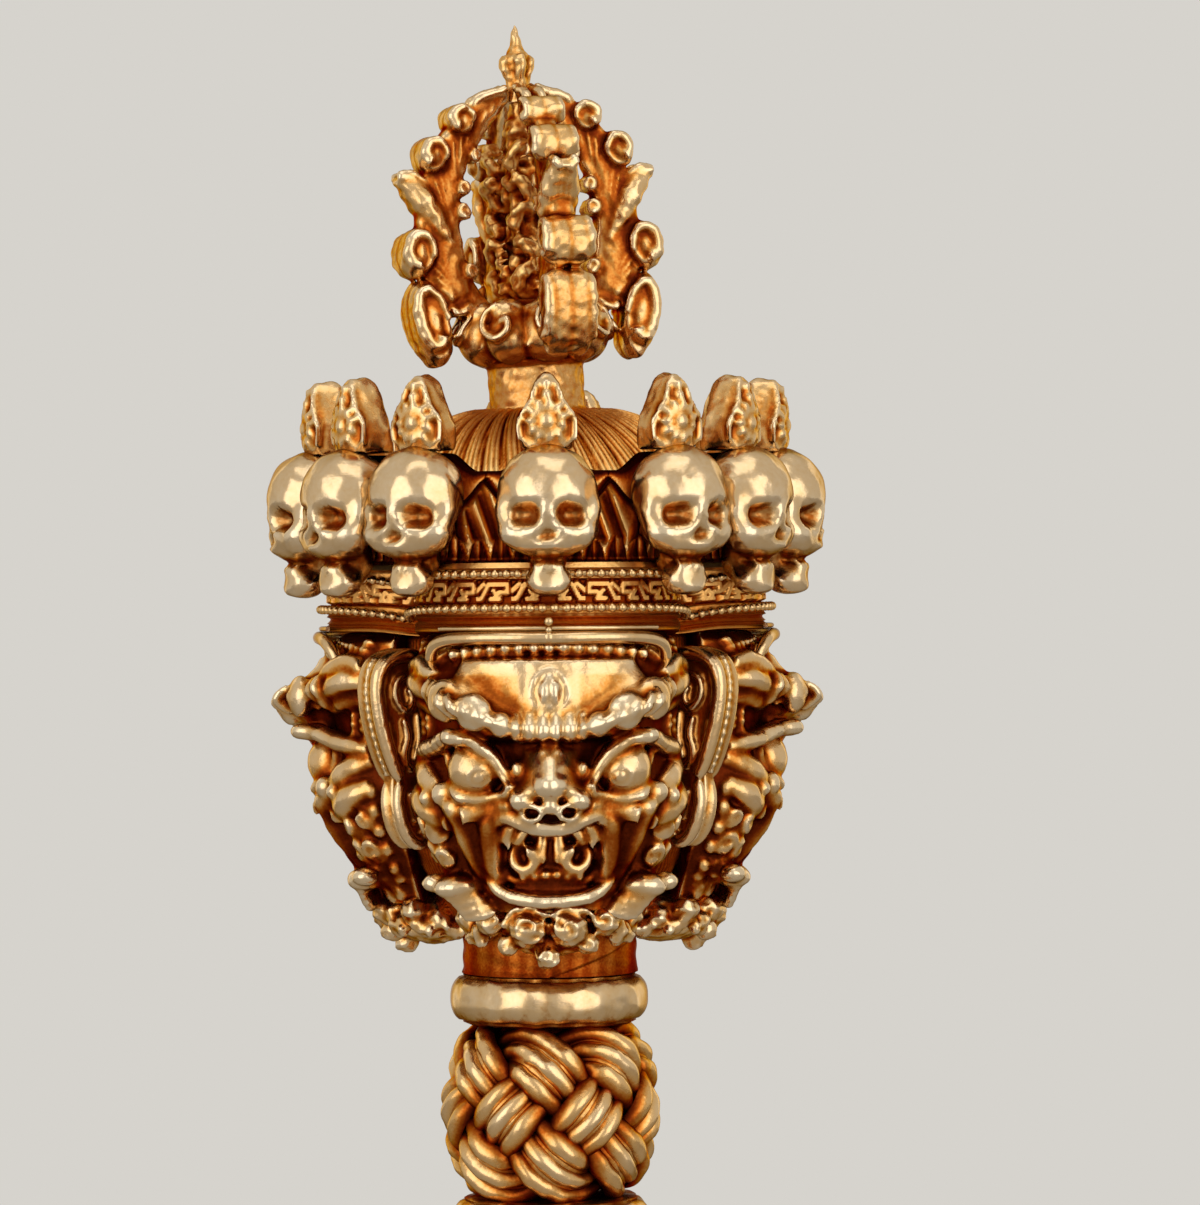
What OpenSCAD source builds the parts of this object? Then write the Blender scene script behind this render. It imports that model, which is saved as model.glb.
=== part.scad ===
// Three-faced ritual dagger: a three-edged blade, two globe knots, a grip,
// three wrathful masks under a crown of skulls, and an open half-vajra finial.
// The point of the blade is the origin, +Z runs up the axis, -Y is the front.

/* [Blade] */
// Length of the blade from its point to the makara's mouth
blade_len = 85; // [70:0.5:100]
// Radius from the axis to each of the three edges at the widest place
blade_edge_r = 13.5; // [11:0.1:15]
// Depth of the hollow ground into each side of the blade
blade_hollow = 2.6; // [1:0.1:3.4]
// Radius of the worn point
blade_tip_r = 0.5; // [0.3:0.05:1]
// Thickness of the serpent that lies on each side of the blade
naga_d = 1.8; // [1.2:0.1:2.2]
// Sideways sway of the serpent at the widest place
naga_sway = 3; // [1.5:0.1:3.6]
// Number of full waves in each serpent
naga_waves = 3; // [2:1:4]

/* [Tang] */
// Diameter of the iron tang that runs up through the hilt
tang_d = 4; // [3:0.1:5]
// Gap all round between the tang and the bores it passes through
tang_play = 0.15; // [0.05:0.01:0.3]

/* [Makara head] */
// Height of the makara head that holds the blade
makara_h = 24; // [20:0.5:30]
// Radius of the makara head at its cheeks
makara_r = 12; // [10.5:0.1:13.5]
// Radius of the ring that each curled trunk makes
trunk_ring_r = 2.6; // [2:0.1:3]
// Thickness of each curled trunk
trunk_d = 2.6; // [2:0.1:3]

/* [Rings] */
// Height of each rounded ring between the sections of the hilt
ring_h = 5; // [3.5:0.1:6.5]
// Radius of each rounded ring at its belly
ring_r = 9.55; // [8.8:0.05:10.5]

/* [Knots] */
// Height of each globe knot
knot_h = 17.2; // [15:0.1:20]
// Radius of each globe knot over its strands
knot_r = 11.05; // [10.2:0.05:12]
// Width of the doubled strand
strand_w = 4.3; // [3.4:0.1:4.6]
// Thickness of the doubled strand at its two ridges
strand_t = 1.55; // [1:0.05:1.7]

/* [Grip] */
// Height of the waisted grip between the knots
grip_h = 22.1; // [16:0.1:30]
// Radius of the grip at its ends
grip_r = 8.6; // [7.8:0.1:9.2]
// Depth of the waist
grip_waist = 1.5; // [0.5:0.1:2.2]
// Number of hollow flutes round the grip
grip_flutes = 12; // [8:1:16]

/* [Neck] */
// Height of the plain neck under the masks
neck_h = 5.3; // [4:0.1:8]
// Radius of the neck
neck_r = 8.85; // [8:0.05:9.5]

/* [Masks] */
// Height of the head block that carries the three masks
head_h = 28.6; // [27:0.1:31]
// Distance from the axis to the flat back of each mask
mask_seat = 10.5; // [10:0.1:11.5]
// Half the width of a mask, and its radius round its own centre
mask_r = 12.4; // [11.8:0.1:12.8]
// How far the tip of the nose stands out of the mask
nose_out = 4; // [2.5:0.1:4.6]
// How far the eyeballs stand out
eye_out = 2; // [1:0.1:2.6]
// How far the knotted brows stand out
brow_out = 2.4; // [1:0.1:3]
// Height of an ear
ear_h = 19.5; // [17:0.1:21]
// Width of an ear from its root to its rim
ear_w = 6.5; // [5:0.1:7]
// Thickness of an ear at its raised rim
ear_t = 2.3; // [1.6:0.1:2.4]
// Radius of a ball curl in the beard
curl_r = 1.75; // [1.3:0.05:1.9]

/* [Diadem] */
// Height of the three-lobed diadem over the masks
diadem_h = 6.6; // [5:0.1:8]
// Radius of each lobe of the diadem round the mask's own centre
diadem_r = 13.3; // [12.9:0.1:13.8]
// Thickness of the two beaded wires round the diadem
bead_d = 1.1; // [0.8:0.05:1.3]
// Thickness of the smooth band over each forehead
fillet_d = 1.3; // [0.9:0.05:1.6]

/* [Crown] */
// Height of the crown wall that the skulls stand against
crown_h = 10.6; // [10:0.1:13]
// Outer radius of the crown wall
crown_r = 21; // [20:0.1:22]
// Thickness of the crown wall and floor
crown_wall = 1.6; // [1.2:0.1:2]
// Number of skulls in the crown
skull_count = 15; // [11:2:15]
// Angle on each side of the front skull that is left free
skull_gap = 32; // [24:1:36]
// Radius of a skull's cranium
skull_r = 4.6; // [4:0.05:4.8]
// Radius of a skull's eye sockets
socket_r = 1.3; // [0.8:0.05:1.5]
// Height of the petal-shaped jewel over each skull
jewel_h = 6.9; // [5.5:0.1:8]
// Width of the jewel
jewel_w = 5.4; // [4:0.1:5.6]
// Thickness of the jewel from front to back
jewel_t = 4.6; // [3:0.1:5]

/* [Finial] */
// Radius of the round stem under the half-vajra
stem_r = 5.1; // [4.4:0.1:5.6]
// Height of the stem
stem_h = 5.4; // [4:0.1:8]
// Height of the lotus that the prongs grow from
lotus_h = 6; // [5:0.1:7]
// Height from the top of the lotus to where the prongs meet
cage_h = 21.3; // [19:0.1:24]
// Radius of the cage of prongs at the inner edge of its widest place
cage_in_r = 7.2; // [6.8:0.1:7.8]
// Width of each leaf-like prong from its inner to its outer edge
prong_w = 4.6; // [3.6:0.1:5]
// Thickness of a prong's leaf
prong_t = 2.6; // [2:0.1:3]
// Thickness of the scrolls along a prong's outer edge
scroll_t = 4.5; // [3.4:0.1:5]
// Turn of the finial to its left, seen from the front
finial_turn = 18; // [0:1:45]
// Lean of the whole finial to the left, seen from the front
finial_lean = 3; // [0:0.5:4]
// Height of the bud at the very top
bud_h = 6.2; // [5:0.1:8]
// Radius of the bud at its collar
bud_r = 1.7; // [1.4:0.05:2]

/* [Hidden] */
$fn = 96;
// Small gap that keeps seated curved faces apart
seat = 0.1;
tang_bore_r = tang_d / 2 + tang_play;

// Heights of the sections, stacked from the point upwards
z_makara = blade_len;
z_ring1 = z_makara + makara_h;
z_knot1 = z_ring1 + ring_h;
z_ring2 = z_knot1 + knot_h;
z_grip = z_ring2 + ring_h;
z_ring3 = z_grip + grip_h;
z_knot2 = z_ring3 + ring_h;
z_ring4 = z_knot2 + knot_h;
z_neck = z_ring4 + ring_h;
z_head = z_neck + neck_h;
z_diadem = z_head + head_h;
z_crown = z_diadem + diadem_h;
z_wall_top = z_crown + crown_h;
// The skulls stand this much over the wall, and the hair this much over the skulls
skull_rise = 0.6;
hair_rise = 3.7;
z_skull_top = z_wall_top + skull_rise;
z_stem = z_skull_top + hair_rise;
z_lotus = z_stem + stem_h;
z_cage = z_lotus + lotus_h;
z_bud = z_cage + cage_h;
// The dagger is three-sided: turns about +Z from the front
face_left_turn = 240;
face_right_turn = 120;
thirds = [0, face_right_turn, face_left_turn];
// The tang ends inside the head block, this far under its top
tang_rest = 4;
tang_top = z_diadem - tang_rest;

// Faces of a closed skin over n rings of m points with a middle point at each end
function skin_faces(n, m) = concat(
    [for (i = [0:n - 2]) for (j = [0:m - 1]) [i * m + j, (i + 1) * m + (j + 1) % m, i * m + (j + 1) % m]],
    [for (i = [0:n - 2]) for (j = [0:m - 1]) [i * m + j, (i + 1) * m + j, (i + 1) * m + (j + 1) % m]],
    [for (j = [0:m - 1]) [n * m, j, (j + 1) % m]],
    [for (j = [0:m - 1]) [n * m + 1, (n - 1) * m + (j + 1) % m, (n - 1) * m + j]]
);
// Faces of a ring-shaped skin whose last ring joins its first
function loop_faces(n, m) = concat(
    [for (i = [0:n - 1]) for (j = [0:m - 1])
        [i * m + j, ((i + 1) % n) * m + (j + 1) % m, i * m + (j + 1) % m]],
    [for (i = [0:n - 1]) for (j = [0:m - 1])
        [i * m + j, ((i + 1) % n) * m + j, ((i + 1) % n) * m + (j + 1) % m]]
);
function unit(v) = v / norm(v);
// A soft bump of height 1 at the origin, one unit wide
function bump(x, z) = exp(-x * x - z * z);
// A smooth step from 0 at a to 1 at b
function step(a, b, x) = let (t = max(0, min(1, (x - a) / (b - a)))) t * t * (3 - 2 * t);

// Blade: at height z the section is a triangle with hollow sides
function blade_r(z) = blade_tip_r + (blade_edge_r - blade_tip_r) * pow(sin(90 * min(1, z / blade_len)), 0.9);
function blade_side(z) = blade_r(z) / 2;
function blade_dip(z) = blade_hollow * blade_r(z) / blade_edge_r;
// Distance from the axis to a side of the blade, x across it
function blade_face(x, z) =
    let (half = blade_r(z) * sin(60)) blade_side(z) - blade_dip(z) * (1 - pow(x / half, 2));
blade_steps = 16;
side_steps = 7;
blade_ring_n = 3 * side_steps;
function blade_ring(z) = [for (k = [0:2]) for (s = [0:side_steps - 1])
    let (half = blade_r(z) * sin(60), x = -half + 2 * half * s / side_steps, y = -blade_face(x, z), a = 120 * k)
    [x * cos(a) - y * sin(a), x * sin(a) + y * cos(a), z]];
// The tang is forged in one with the blade and starts inside it
tang_root = 6;
module blade() {
    color("dimgray")
    union() {
        polyhedron(
            points = concat(
                [for (i = [0:blade_steps]) each blade_ring(blade_len * pow(i / blade_steps, 1.25))],
                [[0, 0, 0], [0, 0, blade_len]]
            ),
            faces = skin_faces(blade_steps + 1, blade_ring_n)
        );
        translate([0, 0, blade_len - tang_root]) cylinder(r = tang_d / 2, h = tang_top - blade_len + tang_root);
    }
}

// Serpents: a tube that sways over each side of the blade, thin at its tail
naga_steps = 40;
naga_sides = 6;
naga_from = 0.22;
naga_to = 0.95;
function naga_r(f) = naga_d / 2 * (0.35 + 0.65 * step(0, 0.25, f)) * (1 + 0.45 * bump((f - 0.96) / 0.035, 0));
function naga_point(f) =
    let (
        z = blade_len * (naga_from + (naga_to - naga_from) * f),
        x = naga_sway * (0.35 + 0.65 * z / blade_len) * sin(360 * naga_waves * f)
    )
    [x, -blade_face(x, z) - naga_r(f) - seat, z];
function naga_ring(f) =
    let (
        p = naga_point(f),
        along = unit(naga_point(f + 0.004) - naga_point(f - 0.004)),
        side = unit(cross([0, -1, 0], along)),
        up = cross(along, side)
    )
    [for (j = [0:naga_sides - 1]) p + naga_r(f) * (cos(60 * j) * side + sin(60 * j) * up)];
module naga() {
    polyhedron(
        points = concat(
            [for (i = [0:naga_steps]) each naga_ring(i / naga_steps)],
            [naga_point(-0.004), naga_point(1.006)]
        ),
        faces = skin_faces(naga_steps + 1, naga_sides)
    );
}
module blade_nagas() {
    color("gold") for (a = thirds) rotate([0, 0, a]) naga();
}

// Makara head: a bell over the blade with cheeks, a collar and a lip
lip_h = 3;
makara_top_r = ring_r - 0.9;
snout_r = 3.6;
snout_up = lip_h + snout_r;
nostril_r = 1.1;
nostril_half = 1.9;
cheek_r = 3;
cheek_half = 5;
eye_up = makara_h * 0.56;
module makara_head() {
    color("goldenrod")
    difference() {
        union() {
            translate([0, 0, z_makara]) rotate_extrude() union() {
                square([makara_r - 1.2, lip_h]);
                translate([makara_r - 1.2, lip_h / 2]) circle(d = lip_h);
                polygon([
                    [0, lip_h / 2], [makara_r - 1.4, lip_h], [makara_r - 2.4, lip_h + 2.2],
                    [makara_r - 2, makara_h * 0.45], [makara_r - 2.8, makara_h * 0.7],
                    [makara_top_r - 1, makara_h - 2.5], [makara_top_r, makara_h], [0, makara_h]
                ]);
            }
            for (a = thirds) rotate([0, 0, a]) translate([0, 0, z_makara]) {
                // Snout over each side of the blade
                translate([0, -makara_r + snout_r / 2, snout_up]) sphere(r = snout_r);
                // Nostrils
                for (s = [-1, 1]) translate([s * nostril_half, -makara_r - nostril_r, snout_up + nostril_r])
                    sphere(r = nostril_r);
                // Cheeks
                for (s = [-1, 1]) translate([s * cheek_half, -makara_r * 0.65, snout_up + 1])
                    sphere(r = cheek_r);
            }
        }
        translate([0, 0, z_makara - 1]) cylinder(r = tang_bore_r, h = makara_h + 2);
        // Sockets for the eyes
        for (a = thirds) for (s = [-1, 1]) rotate([0, 0, a + s * eye_turn])
            translate([0, -makara_eye_out, z_makara + eye_up]) sphere(r = makara_eye_r + seat / 2);
    }
}
eye_turn = 27;
makara_eye_r = 1.7;
makara_eye_out = makara_r - 2.1;
module makara_eyes() {
    color("khaki")
    for (a = thirds) for (s = [-1, 1]) rotate([0, 0, a + s * eye_turn])
        translate([0, -makara_eye_out, z_makara + eye_up]) sphere(r = makara_eye_r);
}
// Trunks: each curls up and back on itself over the snout
trunk_turn = 150;
module makara_trunks() {
    color("gold")
    for (a = thirds) rotate([0, 0, a])
        translate([0, -makara_r - trunk_d / 2 - 0.2, z_makara + makara_h * 0.62]) rotate([90, 0, 90]) union() {
            rotate([0, 0, -trunk_turn]) rotate_extrude(angle = 2 * trunk_turn)
                translate([trunk_ring_r, 0]) circle(d = trunk_d, $fn = 48);
            rotate([0, 0, -trunk_turn]) translate([trunk_ring_r, 0]) sphere(d = trunk_d, $fn = 48);
            // The tip of the trunk is a small ball
            rotate([0, 0, trunk_turn]) translate([trunk_ring_r, 0]) sphere(d = trunk_d * 1.23, $fn = 48);
        }
}

// Rounded ring: a flat-backed belly between two thin lips
module rounded_ring(z) {
    belly = 1.9;
    lip_r = ring_h * 0.22;
    lip_out = ring_r - 1.15;
    translate([0, 0, z]) rotate_extrude() difference() {
        union() {
            square([ring_r - 1, ring_h]);
            translate([ring_r - belly, ring_h / 2]) circle(r = belly);
            translate([lip_out, ring_h - lip_r]) circle(r = lip_r);
            translate([lip_out, lip_r]) circle(r = lip_r);
        }
        translate([0, -1]) square([tang_bore_r, ring_h + 2]);
    }
}

// Globe knot: a barrel core, and one doubled strand that goes over and under.
// Six times round with seven bends at each rim closes it as a single loop.
knot_leads = 6;
knot_bights = 7;
// Lift of the strand at each crossing, height of its ridges, and depth under it
weave = strand_t * 0.58;
ridge = strand_t * 0.64;
strand_deep = strand_t * 0.36;
knot_mid_r = knot_r - weave - ridge;
// The knot is this much slimmer at its rims, and its bends reach this far up and down
knot_swell = knot_r * 0.136;
knot_reach = knot_h / 2 - strand_w * 0.337;
strand_rings_per_bight = 30;
strand_rings = knot_bights * strand_rings_per_bight;
function knot_surface(z) = knot_mid_r - knot_swell * pow(z / knot_reach, 2);
// Number of crossings passed at step j, slower round each bend at the rims
function knot_count(j) =
    let (n = floor(j / knot_leads), u = j - n * knot_leads, last = knot_leads - 1)
    n * last + (u < 1 ? (u + 1) / 2 : u > last ? last + (u - last) / 2 : u);
function knot_path(t) =
    let (z = knot_reach * cos(knot_bights * t / knot_leads), r = knot_surface(z))
    [r * cos(t), r * sin(t), z];
function knot_normal(t) =
    let (z = knot_reach * cos(knot_bights * t / knot_leads))
    unit([cos(t), sin(t), 2 * knot_swell * z / pow(knot_reach, 2)]);
// Section of the doubled strand: two ridges with a groove between them
strand_section = [
    [-strand_w / 2, 0], [0, -strand_deep], [strand_w / 2, 0],
    [strand_w * 0.27, ridge], [0, ridge * 0.45], [-strand_w * 0.27, ridge]
];
function strand_ring(t) =
    let (
        out = knot_normal(t),
        along = unit(knot_path(t + 0.5) - knot_path(t - 0.5)),
        side = cross(out, along),
        lift = weave * cos(180 * knot_count(knot_bights * t / 180))
    )
    [for (q = strand_section) knot_path(t) + side * q[0] + out * (q[1] + lift)];
module knot_strand(z) {
    translate([0, 0, z + knot_h / 2]) polyhedron(
        points = [for (i = [0:strand_rings - 1]) each strand_ring(360 * knot_leads * i / strand_rings)],
        faces = loop_faces(strand_rings, len(strand_section))
    );
}
module knot_core(z) {
    waist_r = knot_mid_r - weave - strand_deep - seat;
    end_r = waist_r - knot_swell * pow(knot_h / 2 / knot_reach, 2);
    arc_r = (pow(knot_h / 2, 2) + pow(waist_r - end_r, 2)) / (2 * (waist_r - end_r));
    translate([0, 0, z]) rotate_extrude() difference() {
        intersection() {
            translate([waist_r - arc_r, knot_h / 2]) circle(r = arc_r);
            square([waist_r + 1, knot_h]);
        }
        translate([-1, -1]) square([tang_bore_r + 1, knot_h + 2]);
    }
}

// Grip: waisted and fluted, with a plain bead at its middle
grip_end_h = 2.4;
grip_bead_r = 1.5;
grip_steps = 10;
function grip_edge(f) = [grip_r - grip_waist * sin(180 * f), grip_h * f];
module grip() {
    flute_r = PI * grip_r / grip_flutes * 0.6;
    flute_out = grip_r - grip_waist + flute_r * 0.55;
    color("goldenrod")
    translate([0, 0, z_grip]) union() {
        difference() {
            rotate_extrude() polygon(concat(
                [[tang_bore_r, 0]],
                [for (i = [0:grip_steps]) grip_edge(i / grip_steps)],
                [[tang_bore_r, grip_h]]
            ));
            for (k = [0:grip_flutes - 1]) rotate([0, 0, 360 * k / grip_flutes])
                translate([flute_out, 0, grip_end_h])
                    cylinder(r = flute_r, h = grip_h - 2 * grip_end_h, $fn = 24);
        }
        translate([0, 0, grip_h / 2]) rotate_extrude() union() {
            translate([tang_bore_r, -grip_bead_r]) square([grip_r - grip_waist - tang_bore_r, 2 * grip_bead_r]);
            translate([grip_r - grip_waist, 0]) circle(r = grip_bead_r, $fn = 48);
        }
    }
}

module neck() {
    color("goldenrod")
    translate([0, 0, z_neck]) difference() {
        cylinder(r = neck_r, h = neck_h);
        translate([0, 0, -1]) cylinder(r = tang_bore_r, h = neck_h + 2);
    }
}

// Head block: a three-sided prism with rounded corners, one side for each mask
core_corner_r = mask_seat + 3.4;
module head_core() {
    color("peru")
    translate([0, 0, z_head]) difference() {
        intersection() {
            rotate([0, 0, 90]) cylinder(r = 2 * (mask_seat - seat / 2), h = head_h, $fn = 3);
            cylinder(r = core_corner_r, h = head_h);
        }
        translate([0, 0, -1]) cylinder(r = tang_bore_r, h = tang_top - z_head + 2);
    }
}

// Mask relief: x runs across the mask, z is height over the mask's lower edge
chin_h = 2.2;
mask_h = head_h - chin_h;
z_mask = z_diadem - mask_h;
mask_cols = 28;
mask_rows = 31;
// The mask wraps this far round to each side
mask_wrap = 86;
z_eye = mask_h * 0.522;
z_nose = mask_h * 0.458;
z_mouth = mask_h * 0.165;
z_brow = mask_h * 0.7;
// The plain egg of the face: forehead, cheeks and a chin that falls back
function mask_egg(z) = mask_r
    + 0.5 * bump(0, (z - mask_h * 0.78) / 5) + 0.5 * bump(0, (z - mask_h * 0.3) / 3.5)
    - 3.2 * (1 - step(-1, mask_h * 0.26, z));
function lip_curve(x) = z_mouth + 1.6 - 4.8 * sqrt(max(0, 1 - pow(x / 6.3, 2)));
function mask_relief(ax, z) =
    // Nose with nostril wings and bridge
    nose_out * bump(ax / 2.3, (z - z_nose) / 2.1)
    + nose_out * 0.35 * bump((ax - 2.7) / 1.2, (z - z_nose + 0.5) / 1.3)
    + nose_out * 0.5 * bump(ax / 1.7, (z - z_nose - 3.6) / 2.4)
    // Eyeball, the heavy lid over it and the bag under it
    + eye_out * bump((ax - 7.3) / 2.7, (z - z_eye) / 2.2)
    + 0.8 * bump((ax - 6.8) / 3.2, (z - z_eye - 2.9 - 0.18 * (ax - 6.8)) / 0.9)
    - 0.8 * bump((ax - 7.3) / 3, (z - z_eye + 2.9) / 0.8)
    // Brow that rises outwards in lumps
    + brow_out * bump((ax - 5.9) / 4.6, (z - z_brow - 0.4 * (ax - 5.2)) / 1.7) * (0.85 + 0.25 * cos(150 * ax))
    // Third eye on the forehead
    + 1 * bump(ax / 1.3, (z - mask_h * 0.78) / 1.9)
    // Cheek, moustache ridge and tufts at the corners of the mouth
    + 1.5 * bump((ax - 7) / 2.3, (z - z_nose + 3.6) / 1.6)
    + 1.6 * bump(ax / 6, (z - z_mouth - 3.9 + 0.05 * ax * ax) / 0.9)
    + 1.6 * bump((ax - 8.6) / 1.8, (z - z_mouth + 1.6) / 2)
    // Open mouth with teeth and tongue, and the thick lower lip
    - 2.1 * (1 - step(4.4, 5.8, ax))
        * step(z_mouth - 3, z_mouth - 1.6, z) * (1 - step(z_mouth + 2.2, z_mouth + 3.4, z))
    + 1.8 * bump(ax / 3.4, (z - z_mouth) / 2)
    + 1.8 * bump(0, (z - lip_curve(ax)) / 0.95) * (1 - step(5.6, 6.8, ax));
function mask_point(i, k) =
    let (
        a = mask_wrap * (2 * i / mask_cols - 1),
        z = mask_h * k / mask_rows,
        edge = step(0, 12, mask_wrap - abs(a)),
        r = mask_egg(z) * (1 - 0.0006 * pow(z - mask_h * 0.6, 2) * (1 - cos(a)))
            + edge * mask_relief(abs(mask_r * sin(a)), z)
    )
    [r * sin(a), -mask_seat - r * cos(a) , z_mask + z];
module mask() {
    n = mask_cols + 1;
    m = n + 2;
    polyhedron(
        points = concat(
            [for (k = [0:mask_rows]) each concat(
                [for (i = [0:mask_cols]) mask_point(i, k)],
                [[mask_point(mask_cols, k)[0], -mask_seat, z_mask + mask_h * k / mask_rows],
                 [mask_point(0, k)[0], -mask_seat, z_mask + mask_h * k / mask_rows]]
            )],
            [[0, -mask_seat - 4, z_mask], [0, -mask_seat - 4, z_mask + mask_h]]
        ),
        faces = skin_faces(mask_rows + 1, m)
    );
}

// Ear: a long plate beside the mask with a raised rim, a fold and a heavy lobe
ear_root = core_corner_r + seat;
z_ear = z_diadem - 2 - ear_h;
ear_lobe_w = ear_w * 0.56;
module ear_outline(inset) {
    top_r = ear_w / 2;
    low_r = ear_lobe_w / 2;
    step_z = z_ear + ear_h * 0.37;
    union() {
        translate([ear_root + top_r, z_ear + ear_h - top_r]) circle(r = top_r - inset);
        translate([ear_root + low_r, z_ear + low_r]) circle(r = low_r - inset);
        // Long rim that leans in towards the lobe
        polygon([
            [ear_root + inset, z_ear + low_r], [ear_root + ear_lobe_w - inset, z_ear + low_r],
            [ear_root + ear_lobe_w - inset, step_z], [ear_root + ear_w - inset, z_ear + ear_h - top_r],
            [ear_root + inset, z_ear + ear_h - top_r]
        ]);
    }
}
module ear_fold(u, v, r) {
    translate([ear_root + ear_w * u, z_ear + ear_h * v]) difference() {
        circle(r = r);
        circle(r = r / 2);
    }
}
module ear() {
    rim = 1;
    union() {
        linear_extrude(height = ear_t) difference() {
            ear_outline(0);
            ear_outline(rim);
        }
        linear_extrude(height = ear_t * 0.5) ear_outline(0.2);
        linear_extrude(height = ear_t * 0.85) union() {
            ear_fold(0.42, 0.78, 1.5);
            ear_fold(0.34, 0.55, 1.3);
        }
    }
}
module ears() {
    for (s = [0, 1]) mirror([s, 0, 0]) rotate([0, 0, -30]) translate([0, -seat, 0]) rotate([90, 0, 0]) ear();
}

// Beard: ball curls under the chin, backed by a shelf that reaches the neck
// Each curl: across, out from the mask's seat, down from its lower edge, and size, in curl radii
beard_curls = [
    [1.09, 3.77, 1.2, 1], [2.8, 2.97, 0.91, 1], [4.17, 1.49, 0.74, 1], [2, 3.03, 2.4, 0.8]
];
chin_curl = [0, 3.54, 2.5, 0.9];
module beard_curl(c, side) {
    translate([side * c[0] * curl_r, -mask_seat - c[1] * curl_r, z_mask - c[2] * curl_r])
        sphere(r = c[3] * curl_r);
}
module beard() {
    shelf_h = chin_h * 2.1;
    shelf_r = mask_r * 0.613;
    far = 3 * mask_r;
    difference() {
        union() {
            intersection() {
                translate([0, -mask_seat + 1, z_mask - shelf_h]) cylinder(r = shelf_r, h = shelf_h);
                translate([-shelf_r, -2 * mask_seat - shelf_r, z_mask - shelf_h])
                    cube([2 * shelf_r, 2 * mask_seat, shelf_h]);
            }
            for (c = beard_curls) for (side = [-1, 1]) beard_curl(c, side);
            beard_curl(chin_curl, 1);
        }
        // Clear of the mask above, the neck, the head block and the ring below
        translate([-far / 2, -far, z_mask]) cube([far, far, far]);
        translate([0, 0, z_neck]) cylinder(r = neck_r + seat, h = far);
        translate([0, 0, z_head]) rotate([0, 0, 90])
            cylinder(r = 2 * (mask_seat + seat / 2), h = head_h, $fn = 3);
        translate([0, 0, z_neck - far]) cylinder(r = ring_r + curl_r, h = far + seat);
    }
}

// Lobed outline that follows the three masks
module three_arcs(r, d, z, half) {
    for (a = thirds) rotate([0, 0, a]) translate([0, -mask_seat, z]) rotate([0, 0, -90 - half])
        rotate_extrude(angle = 2 * half) translate([r, 0]) circle(d = d, $fn = 32);
}
// The smooth band stands clear of the forehead and ends short of the ears
band_gap = 1.1;
band_half = 52;
module forehead_bands() {
    color("khaki")
    three_arcs(mask_r + band_gap + fillet_d / 2, fillet_d, z_diadem - fillet_d / 2 - seat, band_half);
}
module three_lobes(r) {
    union() {
        for (a = thirds) rotate([0, 0, a]) translate([0, -mask_seat]) circle(r = r);
        circle(r = mask_seat + 1);
    }
}
module diadem() {
    flange_h = diadem_h * 0.25;
    band_r = diadem_r - 0.7;
    color("goldenrod")
    translate([0, 0, z_diadem]) union() {
        linear_extrude(height = diadem_h) three_lobes(band_r);
        linear_extrude(height = flange_h) three_lobes(diadem_r);
        translate([0, 0, diadem_h - flange_h]) linear_extrude(height = flange_h) three_lobes(diadem_r);
    }
}
// Each wire runs round its lobe as far as the valley where two lobes meet
bead_wire_r = diadem_r + bead_d / 2 + 0.02;
valley_r = mask_seat / 2 + sqrt(pow(bead_wire_r, 2) - pow(mask_seat * sin(60), 2));
valley_half = atan2(valley_r * sin(60), valley_r / 2 - mask_seat) - 1.3 * asin(bead_d / 2 / bead_wire_r);
module bead_wire(z) {
    color("gold") three_arcs(bead_wire_r, bead_d, z, valley_half);
}

// Crown wall: the ring with a floor that the skulls stand against
module crown_wall_ring() {
    color("sienna")
    translate([0, 0, z_crown]) rotate_extrude() difference() {
        square([crown_r, crown_h]);
        translate([-1, crown_wall]) square([crown_r - crown_wall + 1, crown_h]);
        translate([-1, -1]) square([3, crown_h]);
    }
}

// Skull: a round cranium, deep sockets, cheekbones and a small hanging jaw
skull_out = crown_r + skull_r * 0.587;
function skull_turn(k) =
    k == 0 ? 0 : skull_gap + (k - 1) * (360 - 2 * skull_gap) / (skull_count - 2);
module skull() {
    z0 = z_skull_top - skull_r;
    difference() {
        union() {
            translate([0, -skull_out, z0]) sphere(r = skull_r, $fn = 64);
            // Face under the cranium
            translate([0, -skull_out - skull_r * 0.18, z0 - skull_r * 1.35])
                cylinder(r1 = skull_r * 0.52, r2 = skull_r * 0.74, h = skull_r * 0.9, $fn = 48);
            // Cheekbones
            for (s = [-1, 1]) translate([s * skull_r * 0.55, -skull_out - skull_r * 0.42, z0 - skull_r * 0.78])
                sphere(r = skull_r * 0.34, $fn = 32);
            // Jaw
            translate([0, -skull_out - skull_r * 0.36, z0 - skull_r * 1.62])
                sphere(r = skull_r * 0.44, $fn = 32);
        }
        for (s = [-1, 1])
            translate([s * skull_r * 0.41, -skull_out - skull_r * 0.92, z0 - skull_r * 0.4])
                sphere(r = socket_r, $fn = 32);
        translate([0, -skull_out - skull_r * 0.98, z0 - skull_r * 0.84]) sphere(r = socket_r * 0.45, $fn = 24);
        // Flat back against the crown wall
        translate([0, 0, z0 - 3 * skull_r]) cylinder(r = crown_r + seat / 2, h = 6 * skull_r);
    }
}
module skulls() {
    color("khaki") for (k = [0:skull_count - 1]) rotate([0, 0, skull_turn(k)]) skull();
}

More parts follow.
